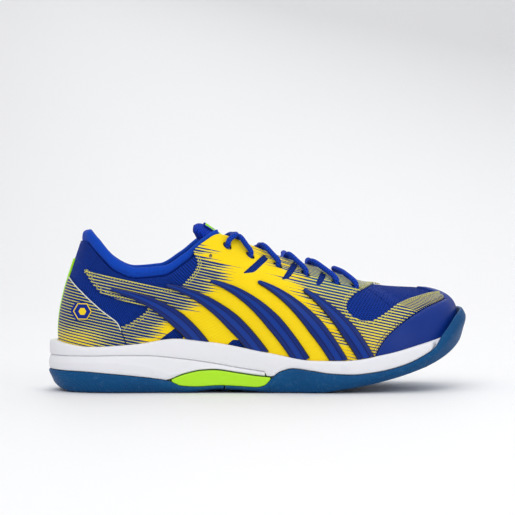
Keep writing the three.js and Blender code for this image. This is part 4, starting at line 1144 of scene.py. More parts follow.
face_mesh = open_mesh()
lining_knit = woven(
    "brushed lining knit", (0.006, 0.05, 0.45), (0.012, 0.085, 0.62), (0.003, 0.02, 0.26),
    1.0, 0.00025, 0.9, 0.5,
)
tape_fibre = fibre_board("stiffener sheet", (0.66, 0.62, 0.52), (0.5, 0.46, 0.38))
collar_cells = cell_foam("pale foam", (0.86, 0.78, 0.45), (0.66, 0.56, 0.3))
SIDES = {"lateral": LATERAL, "medial": MEDIAL}
PITCH = 4.0
RIDGE_REACH, RIDGE_PASSES = 6, 12
for word, side in SIDES.items():
    whole = strip_outline(side, SEAM, VAMP_START - SEAM, 0, collar_top)
    holes = eyelet_loops(side)
    layer("quarter_mesh_" + word, [whole, *holes], MESH_BAND, 3.2, face_mesh, "face_mesh")
    layer("quarter_lining_" + word, [whole, *holes], LINING_BAND, PITCH, lining_knit, "lining_fabric")
    tape = strip_outline(side, station_at(160), VAMP_START - SEAM, 0.62, 0.975)
    tape_holes = [loop for loop, s in zip(holes, eyelet_s) if s > station_at(160) + 0.01]
    layer("eyestay_tape_" + word, [tape, *tape_holes], STIFF_BAND, PITCH, tape_fibre, "stiffener")
    collar = strip_outline(side, 0.045, THROAT_TOP, 0.62, lambda s: under_roll(s) - 0.03)
    layer("collar_foam_" + word, [collar], STIFF_BAND, PITCH, collar_cells, "padding")


def around_end(centre, until, bottom, top, step=2.5):
    """Outline of a layer that passes round the heel or the toe, out to a station on each side."""
    far = [float(around(side, until)) for side in (MEDIAL, LATERAL)]
    a, b = (far[0] - 1, far[1]) if centre == "heel" else (far[1], far[0])
    u = np.linspace(a, b, max(int((b - a) * ROUND / step), 6))
    up = np.linspace(bottom, top, 20)[1:-1] * HIGH
    lower = np.stack([u * ROUND, np.full_like(u, bottom * HIGH)], axis=-1)
    upper = np.stack([u * ROUND, np.full_like(u, top * HIGH)], axis=-1)[::-1]
    rising, falling = (np.stack([0 * up + end * ROUND, up], -1) for end in (b, a))
    return np.vstack([lower, rising, upper, falling[::-1]])


for name, centre, until, top in (("heel_counter", "heel", 60, 0.6), ("toe_puff", "toe", 268, 0.78)):
    outline = around_end(centre, station_at(until), 0, top)
    layer(name, [outline], STIFF_BAND, PITCH, tape_fibre, "stiffener")


def over_ridge(name, low, band, material, slot):
    """A layer of the vamp from foot to foot across the ridge, which is eased where the two sides meet.

    The last row stays open, because its two halves meet at the toe.
    """
    s = np.linspace(low, 1, 60)[:, None]
    w = np.linspace(-1, 1, 91)[None, :]
    rise = 1 - np.abs(w) + 0 * s
    grids = []
    for depth in band[::-1]:
        depth = np.full(rise.shape, float(depth))
        left, right = (skin(around(side, s) + 0 * w, rise, depth) for side in (LATERAL, MEDIAL))
        here = np.where((w < 0)[..., None], left, right)
        ridge = rise.shape[1] // 2
        here[:, ridge] = (left[:, ridge] + right[:, ridge]) / 2
        near = slice(ridge - RIDGE_REACH, ridge + RIDGE_REACH + 1)
        for _ in range(RIDGE_PASSES):
            mean = (np.roll(here, 1, axis=1) + np.roll(here, -1, axis=1)) / 2
            here[:, near] = mean[:, near]
        grids.append(here)
    points, faces = slab(*grids, open_end=True)
    uv = np.stack(np.broadcast_arrays(s * toe_share * ROUND, (1 + w) * HIGH), axis=-1).reshape(-1, 2)
    new_piece(name, points, faces, material, slot, uv=np.vstack([uv, uv]), angle=60)


over_ridge("vamp_mesh", VAMP_START + SEAM, MESH_BAND, face_mesh, "face_mesh")
over_ridge("vamp_lining", VAMP_START + SEAM, LINING_BAND, lining_knit, "lining_fabric")

# ---- Side panels ----
# A thin film is welded over the midfoot of each side. It is printed yellow, which breaks up into fine slanted
# stripes on blue towards the heel, the throat and the toe. Two windows and three lace slots are cut in it.
TOE_SEAM = [
    (227, 5), (227, 24.4), (230, 30.2), (235.2, 37.4), (242.1, 43.6), (252.6, 50.6), (267, 57.8),
    (285, 63.4),
]
SIDE_PANEL = [
    (25, 86.8), (45.5, 80.6), (71.6, 75.4), (87, 73), (92.4, 74.1), (101.3, 83.8), (104.7, 90), (101, 99),
    (112, 122), (200, 110), (240, 84), (235.6, 74.9), (227, 73.3), (216.2, 69.5), (209.7, 64.4),
    (207.5, 59.3), (210.4, 54.3), (217.6, 50.1), (225.5, 49.5), (234.2, 54), (245, 60.7), (255.7, 64.4),
    (270, 67.4),
    (281, 68.4), *[(x - 0.6, z + 0.6) for x, z in TOE_SEAM[::-1]], (60, 20),
    (50, 47), (55.9, 48.2), (67.3, 56.2), (70.3, 59.3), (54.2, 63.8), (37.6, 68.7), (30.6, 76.4),
]
LACE_SLOTS = [
    [(135.4, 83), (143.7, 83.6), (155, 93), (151, 95.8)],
    [(162.7, 78.2), (168.4, 79.1), (176.3, 88.2), (172.3, 90.6)],
    [(187, 74.8), (190.7, 74.1), (196.2, 81.4), (192.2, 83.6)],
]
SOLE_WINDOWS = [
    [(76, 30), (77.5, 37.2), (91.7, 47.9), (97.8, 48.1), (100.4, 46.7), (93.4, 38), (92, 30)],
    [(122, 24), (123, 31.6), (128.8, 37.5), (136.3, 36.4), (138.3, 34.8), (135.4, 28.5), (134, 22)],
]
STRIPE_PITCH = 2.05
STRIPE_SLOPE = 0.22


def printed_film():
    """Yellow print that breaks into slanted stripes, each with its own ragged end, over blue."""
    f = Finish("printed film", Roughness=0.42, Specular_IOR_Level=0.14)
    x, y, z = f.object_axes()
    x = f.plus(x, -place.x)
    over = f.most(f.minus(30.0, f.size(f.minus(y, 3.0))), 0.0)
    over = f.times(over, f.ramp(x, 100.0, 135.0, 0.0, 0.8))
    slanted = f.plus(f.scaled(x, STRIPE_SLOPE, z), over)
    line = f.over(slanted, STRIPE_PITCH)
    row = f.whole(line)
    own = f.add("TexWhiteNoise", {"W": row}, noise_dimensions="1D")
    broken = f.add("CombineXYZ", {0: f.times(x, 0.09), 1: f.times(row, 3.1)})
    patchy = f.add("TexNoise", {"Vector": broken, "Scale": 1.0, "Detail": 3.0})
    ragged = f.scaled(f.plus(own, patchy), 16.0, -16.0)
    fold = f.minus(84.0, f.size(f.minus(84.0, z)))
    rear = f.plus(f.minus(f.scaled(fold, -1.2, x), 21.0), ragged)
    front = f.plus(f.minus(240.0, f.scaled(z, 0.8, x)), ragged)
    heel_foot = f.times(f.ramp(z, 38.0, 50.0, 0.35, 0.0), f.ramp(x, 24.0, 48.0, 1.0, 0.0))
    from_rear = f.plus(f.ramp(rear, -8.0, 12.0, 0.27, 1.0), heel_foot)
    low_front = f.ramp(z, 30.0, 62.0, 0.62, 0.36)
    from_front = f.most(f.ramp(front, -16.0, 16.0, 0.0, 1.0), low_front)
    share = f.least(from_rear, from_front)
    inside_line = f.below(f.part(line), share)
    yellow = f.mix(f.noise(45.0), (1.0, 0.68, 0.003), (1.0, 0.75, 0.006))
    thin = f.ramp(share, 0.3, 0.9)
    stripe = f.mix(thin, (0.78, 0.7, 0.09), yellow)
    throat = f.times(f.ramp(z, 62.0, 82.0), f.ramp(x, 165.0, 200.0))
    blue = f.mix(throat, (0.002, 0.026, 0.2), (0.02, 0.11, 0.26))
    f.colour(f.mix(inside_line, blue, stripe))
    emboss = f.wave(slanted, STRIPE_PITCH / 2)
    grain = f.noise(1500.0, 2.0)
    f.relief(f.scaled(inside_line, 0.6, f.scaled(grain, 0.25, emboss)), 0.00012)
    return f.material


film = printed_film()
FILM_PITCH = 2.6


def pattern_loop(side, points, step=1.2, reach=2):
    return patch_frame(side, *locate(rounded(points, step, reach)))


for word, side in SIDES.items():
    outline = pattern_loop(side, SIDE_PANEL)
    holes = [pattern_loop(side, hole, 0.8) for hole in [*LACE_SLOTS, *SOLE_WINDOWS]]
    loops = [outline, *holes, *eyelet_loops(side)]
    layer("side_panel_" + word, loops, FILM_BAND, FILM_PITCH, film, "panel_film")

# ---- Heel panels and toe cap ----
# The same film wraps the heel behind the side panels, and a smooth deep blue cap wraps the toe under a curved
# seam. Both are welded on. A reflective piping is sewn along the heel panels' upper edge.
STRIP_EDGE = 0.016
HEEL_EDGE = [
    (59.4, 18), (49.7, 46.4), (48.6, 49.2), (38.5, 56.6), (28.1, 66), (19.4, 74.8), (14, 81.6), (2, 86.9)
]


def eased(points, step=1.0, reach=3):
    """An open line with its corners eased."""
    p = resampled(points, step, closed=False)
    wide = np.vstack([p[:1]] * reach + [p] + [p[-1:]] * reach)
    return sum(wide[k : k + len(p)] for k in range(2 * reach + 1)) / (2 * reach + 1)


def heel_line():
    s, v = locate(eased(HEEL_EDGE))
    keep = s > STRIP_EDGE + SEAM
    return s[keep], v[keep]


def toe_line():
    s, v = locate(eased(TOE_SEAM))
    keep = (v > 0.004) & (v < 0.9) & (s > station_at(219))
    return s[keep], v[keep]


smooth_blue = plain(
    "toe cap film", (0.001, 0.022, 0.19), (0.002, 0.032, 0.25), 50.0, (1300.0, 3.0), 0.00008, (0.33, 0.46),
    Specular_IOR_Level=0.22,
)
for word, side in SIDES.items():
    s, v = heel_line()
    rear_v = np.linspace(v[-1], 0, 40)[1:]
    foot_s = np.linspace(STRIP_EDGE + SEAM, s[0], 24)[1:-1]
    s = np.concatenate([s, np.full_like(rear_v, STRIP_EDGE + SEAM), foot_s])
    v = np.concatenate([v, rear_v, np.zeros_like(foot_s)])
    layer("heel_panel_" + word, [patch_frame(side, s, v)], FILM_BAND, FILM_PITCH, film, "overlay")
s, v = toe_line()
over_toe = np.linspace(s[-1], 1, 14)
over_v = v[-1] + (0.9 - v[-1]) * np.clip((over_toe - s[-1]) / 0.01, 0, 1)
half_s, half_v = np.concatenate([s, over_toe[1:]]), np.concatenate([v, over_v[1:]])
foot_s = np.linspace(1, s[0], 60)[1:-1]
outline = np.vstack(
    [
        patch_frame(LATERAL, half_s, half_v),
        patch_frame(MEDIAL, half_s, half_v)[::-1][1:],
        patch_frame(MEDIAL, foot_s, 0 * foot_s)[::-1],
        patch_frame(LATERAL, [1.0], [0.0]),
        patch_frame(LATERAL, foot_s, 0 * foot_s),
    ]
)
layer("toe_cap", [outline], FILM_BAND, FILM_PITCH, smooth_blue, "overlay", soft=0.5)


def tube(path, radius, sides=8, flat=1.0, up=None):
    """Points, faces and UVs of a round or flattened cord along a path, with domed ends."""
    path = np.asarray(path, float)
    way = np.gradient(path, axis=0)
    way /= np.linalg.norm(way, axis=1, keepdims=True)
    side = np.cross(way[0], (0, 0, 1) if up is None else up[0])
    frames = []
    for i, d in enumerate(way):
        side = side - d * (side @ d)
        if up is not None:
            side = np.cross(d, up[i])
        side /= np.linalg.norm(side)
        frames.append((side, np.cross(side, d)))
    turn = np.linspace(0, 2 * np.pi, sides, endpoint=False)
    ends = np.array([0.05, 0.45, 0.75, 0.93])
    sizes = np.ones(len(path)) * radius if np.isscalar(radius) else np.asarray(radius, float)
    rings, along = [], lengths_along(path)
    for i, (p, (a, b)) in enumerate(zip(path, frames)):
        ring = p + sizes[i] * (np.cos(turn)[:, None] * a + flat * np.sin(turn)[:, None] * b)
        rings.append(ring)
    shifts = np.sqrt(1 - ends**2) * sizes[0] * 0.6
    first = [path[0] - way[0] * h + (rings[0] - path[0]) * e for e, h in zip(ends, shifts)]
    last = [path[-1] + way[-1] * h + (rings[-1] - path[-1]) * e for e, h in zip(ends[::-1], shifts[::-1])]
    rings = [*first, *rings, *last]
    along = np.concatenate([[along[0]] * 4, along, [along[-1]] * 4])
    round_about = np.broadcast_to(turn / (2 * np.pi) * 12, (len(rings), sides))
    uv = np.stack([np.broadcast_to(along[:, None], round_about.shape), round_about], axis=-1).reshape(-1, 2)
    return np.vstack(rings), hoops(len(rings), sides), uv


f = Finish("reflective piping", Roughness=0.35, Specular_IOR_Level=0.7)
x, _, z = f.object_axes()
beads = f.wave(f.plus(x, z), 0.8)
# The bead crests are painted lighter and the troughs darker: painted highlight and shade.
f.colour(f.mix(beads, (0.62, 0.64, 0.5), (0.9, 0.92, 0.85)))
f.relief(beads, 0.0001)
piping = f.material
for word, side in SIDES.items():
    s, v = heel_line()
    keep = v > 0.25
    u = around(side, s[keep])
    path = skin(u, v[keep], np.full(keep.sum(), OVERLAY_TOP - 0.1))
    points, faces, uv = tube(path, 0.42)
    new_piece("heel_piping_" + word, points, faces, piping, "overlay", uv=uv, angle=60)

# ---- Heel strip and badges ----
# A moulded lime strip runs up the back of the heel, and a small hexagonal rubber badge is bonded on each side
# of it.
lime = plain(
    "lime trim", (0.36, 0.82, 0.0), (0.42, 0.9, 0.0), 60.0, (1200.0, 2.0), 0.0001,
    Roughness=0.4, Specular_IOR_Level=0.3,
)
strip = around_end("heel", STRIP_EDGE, 0.12, 0.78, 1.0)
layer("heel_strip", [strip], FILM_BAND, 2.0, lime, "lime_trim")
RIB_BASE = OVERLAY_TOP + 0.6
BADGE = (24, 57)
BADGE_RADIUS = 7.0


def badge_rubber():
    """Yellow line round a blue field, drawn by the distance from the badge's edges."""
    f = Finish("badge rubber", Roughness=0.4, Specular_IOR_Level=0.15)
    a, b = f.cloth_axes()
    reach = None
    for k in range(3):
        t = math.radians(30 + 60 * k)
        across = f.scaled(a, math.cos(t), f.times(b, math.sin(t)))
        across = f.size(across)
        reach = across if reach is None else f.most(reach, across)
    line = f.near(reach, 0.88 * BADGE_RADIUS * math.cos(math.pi / 6), 0.35)
    core = f.below(reach, 0.34 * BADGE_RADIUS)
    drawn = f.most(line, core)
    grain = f.noise(1200.0, 2.0)
    f.colour(f.mix(drawn, (0.003, 0.02, 0.25), (0.95, 0.68, 0.02)))
    f.relief(f.scaled(grain, 0.3, drawn), 0.00015)
    return f.material


badge_face = badge_rubber()
for word, side in SIDES.items():
    turn = np.arange(6) * math.pi / 3
    corners = np.stack([BADGE[0] + BADGE_RADIUS * np.cos(turn), BADGE[1] + BADGE_RADIUS * np.sin(turn)], -1)
    loop = rounded(corners, 0.5, 1)
    outline = patch_frame(side, *locate(loop))
    points, faces, _ = patch([outline], RIB_BASE - 0.5, RIB_BASE + 0.7, 1.4, soft=0.35)
    flat = points[:, [0, 2]] - np.array(BADGE)
    new_piece("heel_badge_" + word, points, faces, badge_face, "panel_film", uv=flat, angle=50)

# ---- Ribs ----
# Five nested crescents of blue plastic stiffen the midfoot on each side. Each has rounded shoulders, two fine
# grooves and a dark edge line, and is bonded to the film with its broad foot down at the sole. Their colour
# carries painted light: a painted highlight along the crown, painted shade towards the shoulders and in the
# grooves, and the dark edge line is painted shadow at the rim.
RIBS = [
    [(44, 72), (84, 65), (108, 32)],
    [(82, 75), (120, 67), (149, 26)],
    [(113, 78), (148, 69), (177, 22)],
    [(146, 77), (178, 64), (203, 21)],
    [(178, 71), (204, 55), (222, 22)],
]
RIB_FOOT_WIDTH = 11.5
RIB_TIP_WIDTH = 2.4
RIB_HEIGHT = 1.4


def rib_plastic():
    f = Finish("rib plastic", Roughness=0.32, Specular_IOR_Level=0.24)
    a, b = f.cloth_axes()
    across = f.size(b)
    # Painted shadow: the dark olive edge line at the rib's rim.
    edge = f.ramp(across, 0.86, 0.95)
    groove = f.near(across, 0.42, 0.07)
    grain = f.noise(1300.0, 2.0)
    # Painted highlight along the crown and painted shade towards the shoulders and in the grooves.
    body = f.mix(f.ramp(across, 0.0, 0.85), (0.002, 0.036, 0.27), (0.001, 0.016, 0.15))
    body = f.mix(groove, body, (0.001, 0.008, 0.1))
    f.colour(f.mix(edge, body, (0.035, 0.026, 0.004)))
    f.relief(f.scaled(grain, 0.2, f.times(groove, -1.0)), 0.00015)
    return f.material


rib_blue = rib_plastic()


def rib(name, side, tip, bend, foot, steps=64):
    tip, bend, foot = (np.array(p, float) for p in (tip, bend, foot))
    k = np.array([-1, -0.96, -0.86, -0.6, -0.35, -0.1, 0.1, 0.35, 0.6, 0.86, 0.96, 1])
    t = np.linspace(0, 1, 220)
    weights = ((1 - t) ** 2, 2 * t * (1 - t), t * t)
    centre = sum(weight[:, None] * end for weight, end in zip(weights, (tip, bend, foot)))
    way = np.gradient(centre, t, axis=0)
    way /= np.linalg.norm(way, axis=1, keepdims=True)
    half = (RIB_TIP_WIDTH + (RIB_FOOT_WIDTH - RIB_TIP_WIDTH) * np.minimum(1, 1.5 * t)) / 2
    half *= np.clip(0.25 + t / 0.02, 0, 1)
    columns = []
    for q in k:
        line = centre + np.stack([-way[:, 1], way[:, 0]], axis=-1) * (q * half)[:, None]
        low = lip_top(line[:, 0]) + 0.5
        end = int(np.argmax(line[:, 1] < low)) or len(t) - 1
        spread = np.linspace(0, end, steps)
        columns.append(follow(spread, np.arange(len(t)), line))
    flat = np.stack(columns, axis=1)
    s, v = (g.reshape(flat.shape[:2]) for g in locate(flat.reshape(-1, 2)))
    u = around(side, s)
    height = RIB_HEIGHT * np.array([0.3, 0.62, 0.82, 0.93, 0.98, 1, 1, 0.98, 0.93, 0.82, 0.62, 0.3])
    points, faces = slab(skin(u, v, RIB_BASE + height[None, :] + 0 * u), skin(u, v, RIB_BASE - 0.5 + 0 * u))
    along = np.broadcast_to(np.linspace(0, 60, steps)[:, None], u.shape)
    uv = np.stack([along, np.broadcast_to(k, u.shape)], axis=-1).reshape(-1, 2)
    new_piece(name, points, faces, rib_blue, "rib_plastic", uv=np.vstack([uv, uv]))


for word, side in SIDES.items():
    for i, line in enumerate(RIBS):
        rib(f"support_rib_{word}_{i + 1}", side, *line)

# ---- Stitching ----
# Yellow thread runs in double rows inside the edges of the side panels, and blue thread along the toe seam.
# Each stitch is set by a node tree on seats that follow the edge.
yellow_thread = plain("yellow thread", (0.62, 0.6, 0.08), (0.85, 0.78, 0.16), 300.0, Roughness=0.6)
blue_thread = plain("blue thread", (0.001, 0.006, 0.08), (0.002, 0.012, 0.14), 300.0, Roughness=0.6)


def row_of_stitches(side, pattern, inset, pitch, flip):
    """Seats and turns along a pattern line on one side, this far in from it."""
    s, v = locate(resampled(pattern, 0.8, closed=False))
    u = around(side, s)
    here, n = skin(u, v, OVERLAY_TOP + 0.05), normal(u, v)
    way = np.gradient(here, axis=0)
    way /= np.maximum(np.linalg.norm(way, axis=1, keepdims=True), 1e-9)
    here = here + np.cross(n, way) * inset * side * flip
    along = lengths_along(here)
    at = np.arange(pitch / 2, along[-1], pitch)
    seats, ways, ups = (follow(at, along, q) for q in (here, way, n))
    turns = []
    for d, up in zip(ways, ups):
        z = Vector(up).normalized()
        x = (Vector(d) - z * Vector(d).dot(z)).normalized()
        y = z.cross(x)
        turns.append(tuple(Matrix((x, y, z)).transposed().to_euler("XYZ")))
    return seats, turns


panel_edge = rounded(SIDE_PANEL, 1.0, 2)


def edge_run(start, end):
    """Part of the panel's outline from the point nearest one corner on to the next."""
    a, b = (int(np.argmin(np.hypot(*(panel_edge - np.array(p)).T))) for p in (start, end))
    index = np.arange(a, b if b > a else b + len(panel_edge)) % len(panel_edge)
    return panel_edge[index]


def stitching(name, side, lines, insets, pitch, sizes, thread, flip=1):
    """Rows of stitches along some lines of one side, at each of these insets."""
    rows = [row_of_stitches(side, line, inset, pitch, flip) for line in lines for inset in insets]
    seats = np.vstack([seats for seats, _ in rows])
    turns = [turn for _, turns in rows for turn in turns]
    repeated(name, seats, turns, "stitch", sizes, thread)


PANEL_RUNS = [((30.6, 76.4), (101, 99)), ((50, 47), (30.6, 76.4)), ((236, 75), (281, 68.4))]
panel_runs = [edge_run(*run) for run in PANEL_RUNS]
toe_run = [eased(TOE_SEAM)[12:]]
for word, side in SIDES.items():
    sizes = (1.55, 0.42, 0.4)
    stitching("panel_stitching_" + word, side, panel_runs, (1.1, 2.6), 2.1, sizes, yellow_thread)
    sizes = (1.7, 0.5, 0.45)
    stitching("toe_stitching_" + word, side, toe_run, (1.4, 3.0), 2.3, sizes, blue_thread, flip=-1)

# ---- Collar roll ----
# A padded roll finishes the collar: bright blue knit wrapped over a foam cord, closed by a seam on its inner
# side. Its puckers are shaped in code, since the roll is thinner than a cloth simulation can hold.
roll_knit = woven(
    "collar knit", (0.003, 0.05, 0.42), (0.007, 0.09, 0.62), (0.002, 0.02, 0.24), 0.9, 0.00018, 0.8, 0.4
)
roll_foam = cell_foam("collar roll foam", (0.86, 0.84, 0.72), (0.66, 0.62, 0.5))
half_s = np.linspace(THROAT_TOP - 0.002, 0, 130)
roll_u = np.concatenate([around(MEDIAL, half_s), around(LATERAL, half_s[::-1][1:])])
roll_s = np.concatenate([half_s, half_s[::-1][1:]])
ROLL_SIDES = 24
ROLL_WIDTH, ROLL_HEEL_WIDTH = 2.6, 1.4
ROLL_DROP, ROLL_HEEL_DROP = 3.9, 3.4
ROLL_RISE, ROLL_PLUMP, ROLL_LEAN = 3.4, 3.6, 1.6
PLUMP_STATION, PLUMP_REACH = 0.175, 0.07


def roll_points(scale, pucker):
    centre = surface(roll_u, np.ones_like(roll_u))
    _, _, ox, oy = plan_at(roll_u)
    out = np.stack([ox, oy, 0 * ox], axis=-1)
    heel = np.maximum(0, 1 - np.minimum(np.mod(roll_u, 1), 1 - np.mod(roll_u, 1)) / 0.09)
    wide = ROLL_WIDTH + ROLL_HEEL_WIDTH * heel
    centre = centre + out * (-0.2 - wide)[:, None] + np.array([0, 0, 0.3])
    along = lengths_along(centre)
    turn = np.linspace(0, 2 * np.pi, ROLL_SIDES, endpoint=False)
    ripple = np.sin(along / 2.3) * 0.5 + np.sin(along / 1.37 + 2) * 0.3 + np.sin(along / 5.9 + 1) * 0.5
    inner = np.exp(-((turn - np.pi * 1.08) / 0.35) ** 2)
    rippled = ripple[:, None] * np.cos(turn - np.pi)[None, :].clip(0)
    soft = 1 - pucker * (0.35 * inner[None, :] + 0.06 * rippled)
    taper = np.clip(np.minimum(along, along[-1] - along) / 1.8, 0.0, 1)
    taper = np.sqrt(1 - (1 - taper) ** 2) * 0.9 + 0.1
    radius = scale * soft * taper[:, None]
    ring = centre[:, None] + (radius * np.cos(turn) * wide[:, None])[..., None] * out[:, None]
    drop = (ROLL_DROP + ROLL_HEEL_DROP * heel**0.7)[:, None]
    plump = np.exp(-(((roll_s - PLUMP_STATION) / PLUMP_REACH) ** 2))[:, None]
    ring[..., 2] += radius * np.sin(turn) * np.where(np.sin(turn) < 0, drop, ROLL_RISE + ROLL_PLUMP * plump)
    inward = radius * np.clip(-np.cos(turn), 0, 1) * ROLL_LEAN * plump
    ring -= inward[..., None] * out[:, None]
    outward = radius * np.clip(-np.sin(turn), 0, 1) * (ROLL_LEAN * heel**0.7)[:, None]
    ring += outward[..., None] * out[:, None]
    uv = np.stack(np.broadcast_arrays(along[:, None], turn[None, :] * 3.0), axis=-1).reshape(-1, 2)
    return ring.reshape(-1, 3), hoops(len(roll_u), ROLL_SIDES), uv


points, faces, uv = roll_points(1.0, 1.0)
collar_roll = new_piece("collar_roll", points, faces, roll_knit, "collar_knit", uv=uv, angle=60)
points, faces, uv = roll_points(0.72, 0.0)
new_piece("collar_roll_foam", points, faces, roll_foam, "padding", uv=uv, angle=60)

# ---- Tongue ----
# A padded flap under the lace, free at its upper end: a knit face and a lining over foam. The cover is blown
# up by a short cloth simulation, and a woven lime label is sewn near its tip.
TONGUE_UNDER = [
    (0.865, 3.2), (0.84, 3), (0.815, 1), (0.79, -1.7), (0.76, -1.7), (0.69, 0.7), (0.62, 1.8),
    (0.56, 2.6), (0.53, 4.6),
]
TONGUE_FREE = [(-1, 1.5), (-9, 7), (-15.5, 9.6)]
TONGUE_DROP = 7.6
TONGUE_HALF_WIDTH = 21.5
TONGUE_THICKNESS = 8.0
COVER_GRAIN, COVER_PRESSURE, COVER_CAP = 2.2, 4.0, 0.45
CLOTH_FRAMES = 20
tongue_arch = smooth_line((0, 30), (0.8, 30), (0.94, 19), (1.001, 17))
tongue_half = smooth_line((0, 0.62), (0.15, 0.9), (0.4, 1), (0.75, 1), (0.86, 0.86), (0.95, 0.8), (1, 0.66))
tongue_thick = smooth_line((0, 0.45), (0.2, 0.62), (0.5, 0.85), (0.8, 1.2), (0.93, 1.35), (1, 0.7))


def crest_z(s):
    return float(bed_line(crest_x(s)) + crest_height(s))


tip_x = float(crest_x(THROAT_TOP))
tip_z = crest_z(THROAT_TOP)
tongue_line = [
    (float(crest_x(s)), float(spine(crest_x(s))), crest_z(s) - TONGUE_DROP + rise)
    for s, rise in TONGUE_UNDER
]
tongue_line += [(tip_x + dx, float(spine(tip_x)), tip_z + dz) for dx, dz in TONGUE_FREE]
tongue_line = flowing(tongue_line, per=40)
tongue_along = lengths_along(tongue_line)
tongue_way = np.gradient(tongue_line, tongue_along, axis=0)
tongue_way /= np.linalg.norm(tongue_way, axis=1, keepdims=True)


def on_tongue(s, w, depth):
    """Point of the tongue: s along it from its base, w from -1 to 1 across, depth below its upper face."""
    s, w, depth = np.broadcast_arrays(*(np.asarray(q, float) for q in (s, w, depth)))
    at = s * tongue_along[-1]
    p, t = (follow(at, tongue_along, q) for q in (tongue_line, tongue_way))
    down = np.stack([t[..., 2], 0 * at, -t[..., 0]], axis=-1) * np.where(t[..., 0] < 0, -1, 1)[..., None]
    arch = tongue_arch(s)
    angle = w * TONGUE_HALF_WIDTH * tongue_half(s) / arch
    radius = arch - depth
    p = p + down * (arch - radius * np.cos(angle))[..., None]
    p[..., 1] += radius * np.sin(angle)
    return p


def tongue_body(low, high, margin, rows=44, cols=25, edge=1.0):
    """Closed cushion between the tongue's two faces, with rounded edges, this far inside its cover."""
    s = np.linspace(low, high, rows)[:, None]
    w = np.linspace(-1, 1, cols)[None, :]
    full = smooth_line((0, 0.55), (0.82, 0.55), (0.93, 0.1), (1.001, 0.1))(s)
    thick = TONGUE_THICKNESS * tongue_thick(s) * (1 - full * w * w)
    round_end = np.sqrt(np.clip(1 - np.clip((np.abs(s - 0.5) - 0.46) / 0.04, 0, 1) ** 2, 0.06, 1))
    round_edge = np.sqrt(np.clip(1 - np.clip((np.abs(w) - 0.86) / 0.14, 0, 1) ** 2, 0.08, 1))
    fullness = round_end * round_edge
    middle = thick / 2
    upper = on_tongue(s, w * edge, middle - (middle - margin) * fullness)
    lower = on_tongue(s, w * edge, middle + (middle - margin) * fullness)
    return slab(upper, lower)


def tongue_uv(points):
    """Millimetres along the tongue and across it, for any points of it."""
    gap = np.hypot(points[:, None, 0] - tongue_line[None, :, 0], points[:, None, 2] - tongue_line[None, :, 2])
    return np.stack([tongue_along[gap.argmin(axis=1)], points[:, 1]], axis=-1)


def inflated(name, points, faces, grain, pressure, cap):
    """Points and faces of a cover blown up by the cloth solver, each point moved no further than the cap."""
    mesh = bpy.data.meshes.new(name + "_raw")
    mesh.from_pydata((np.asarray(points) / 1000).tolist(), [], [tuple(int(i) for i in f) for f in faces])
    piece = bpy.data.objects.new(name + "_raw", mesh)
    bpy.context.scene.collection.objects.link(piece)
    remesh = piece.modifiers.new("remesh", "REMESH")
    remesh.mode = "VOXEL"
    remesh.voxel_size = grain / 1000
    graph = bpy.context.evaluated_depsgraph_get()
    piece.data = bpy.data.meshes.new_from_object(piece.evaluated_get(graph))
    piece.modifiers.clear()
    start = np.array([v.co[:] for v in piece.data.vertices])
    made = [tuple(p.vertices) for p in piece.data.polygons]
    cloth = piece.modifiers.new("cloth", "CLOTH")
    cloth.settings.quality = 6
    cloth.settings.mass = 0.2
    cloth.settings.tension_stiffness = 12
    cloth.settings.compression_stiffness = 8
    cloth.settings.bending_stiffness = 0.4
    cloth.settings.use_pressure = True
    cloth.settings.uniform_pressure_force = pressure
    cloth.settings.effector_weights.gravity = 0
    cloth.point_cache.frame_end = CLOTH_FRAMES
    for frame_number in range(1, CLOTH_FRAMES + 1):
        bpy.context.scene.frame_set(frame_number)
    graph = bpy.context.evaluated_depsgraph_get()
    blown = piece.evaluated_get(graph).to_mesh()
    end = np.array([v.co[:] for v in blown.vertices])
    move = end - start
    far = np.linalg.norm(move, axis=1, keepdims=True)
    start = start + move * np.minimum(1, cap / 1000 / np.maximum(far, 1e-9))
    bpy.context.scene.frame_set(1)
    bpy.data.objects.remove(piece)
    return start * 1000, made


tongue_knit = woven(
    "tongue knit", (0.003, 0.03, 0.36), (0.007, 0.055, 0.55), (0.001, 0.008, 0.12), 1.5, 0.0003, 0.85, 0.3
)
points, faces = tongue_body(0.0, 1.0, 0.0)
points, faces = inflated("tongue_cover", points, faces, COVER_GRAIN, COVER_PRESSURE, COVER_CAP)
cover = new_piece(
    "tongue_cover", points, faces, tongue_knit, "collar_knit", "tongue", tongue_uv(points), 180,
    ["tongue_face", "tongue_lining"],
)
smooth = cover.modifiers.new("smooth", "SUBSURF")
smooth.levels = smooth.render_levels = 1
points, faces = tongue_body(0.02, 0.98, 1.3, edge=0.93)
new_piece("tongue_foam", points, faces, collar_cells, "padding", "tongue", tongue_uv(points), 60)


def woven_label():
    """Lime weave with a plain dark border and three bars."""
    f = Finish("label weave", Roughness=0.7, Specular_IOR_Level=0.15)
    a, b = f.cloth_axes()
    far_a, far_b = f.size(a), f.size(b)
    border = f.most(f.above(far_a, 11.0), f.above(far_b, 7.5))
    step = f.part(f.over(f.plus(a, 2.25), 4.5))
    bars = f.below(f.size(f.minus(step, 0.5)), 0.16)
    bars = f.times(bars, f.below(far_b, 4.6))
    bars = f.times(bars, f.below(far_a, 6.6))
    drawn = f.most(border, bars)
    thread = f.times(f.wave(a, 0.55), f.wave(b, 0.55))
    lit = f.mix(thread, (0.3, 0.75, 0.01), (0.5, 0.95, 0.05))
    f.colour(f.mix(drawn, lit, (0.003, 0.025, 0.3)))
    f.relief(f.plus(thread, f.times(drawn, 0.6)), 0.00015)
    return f.material


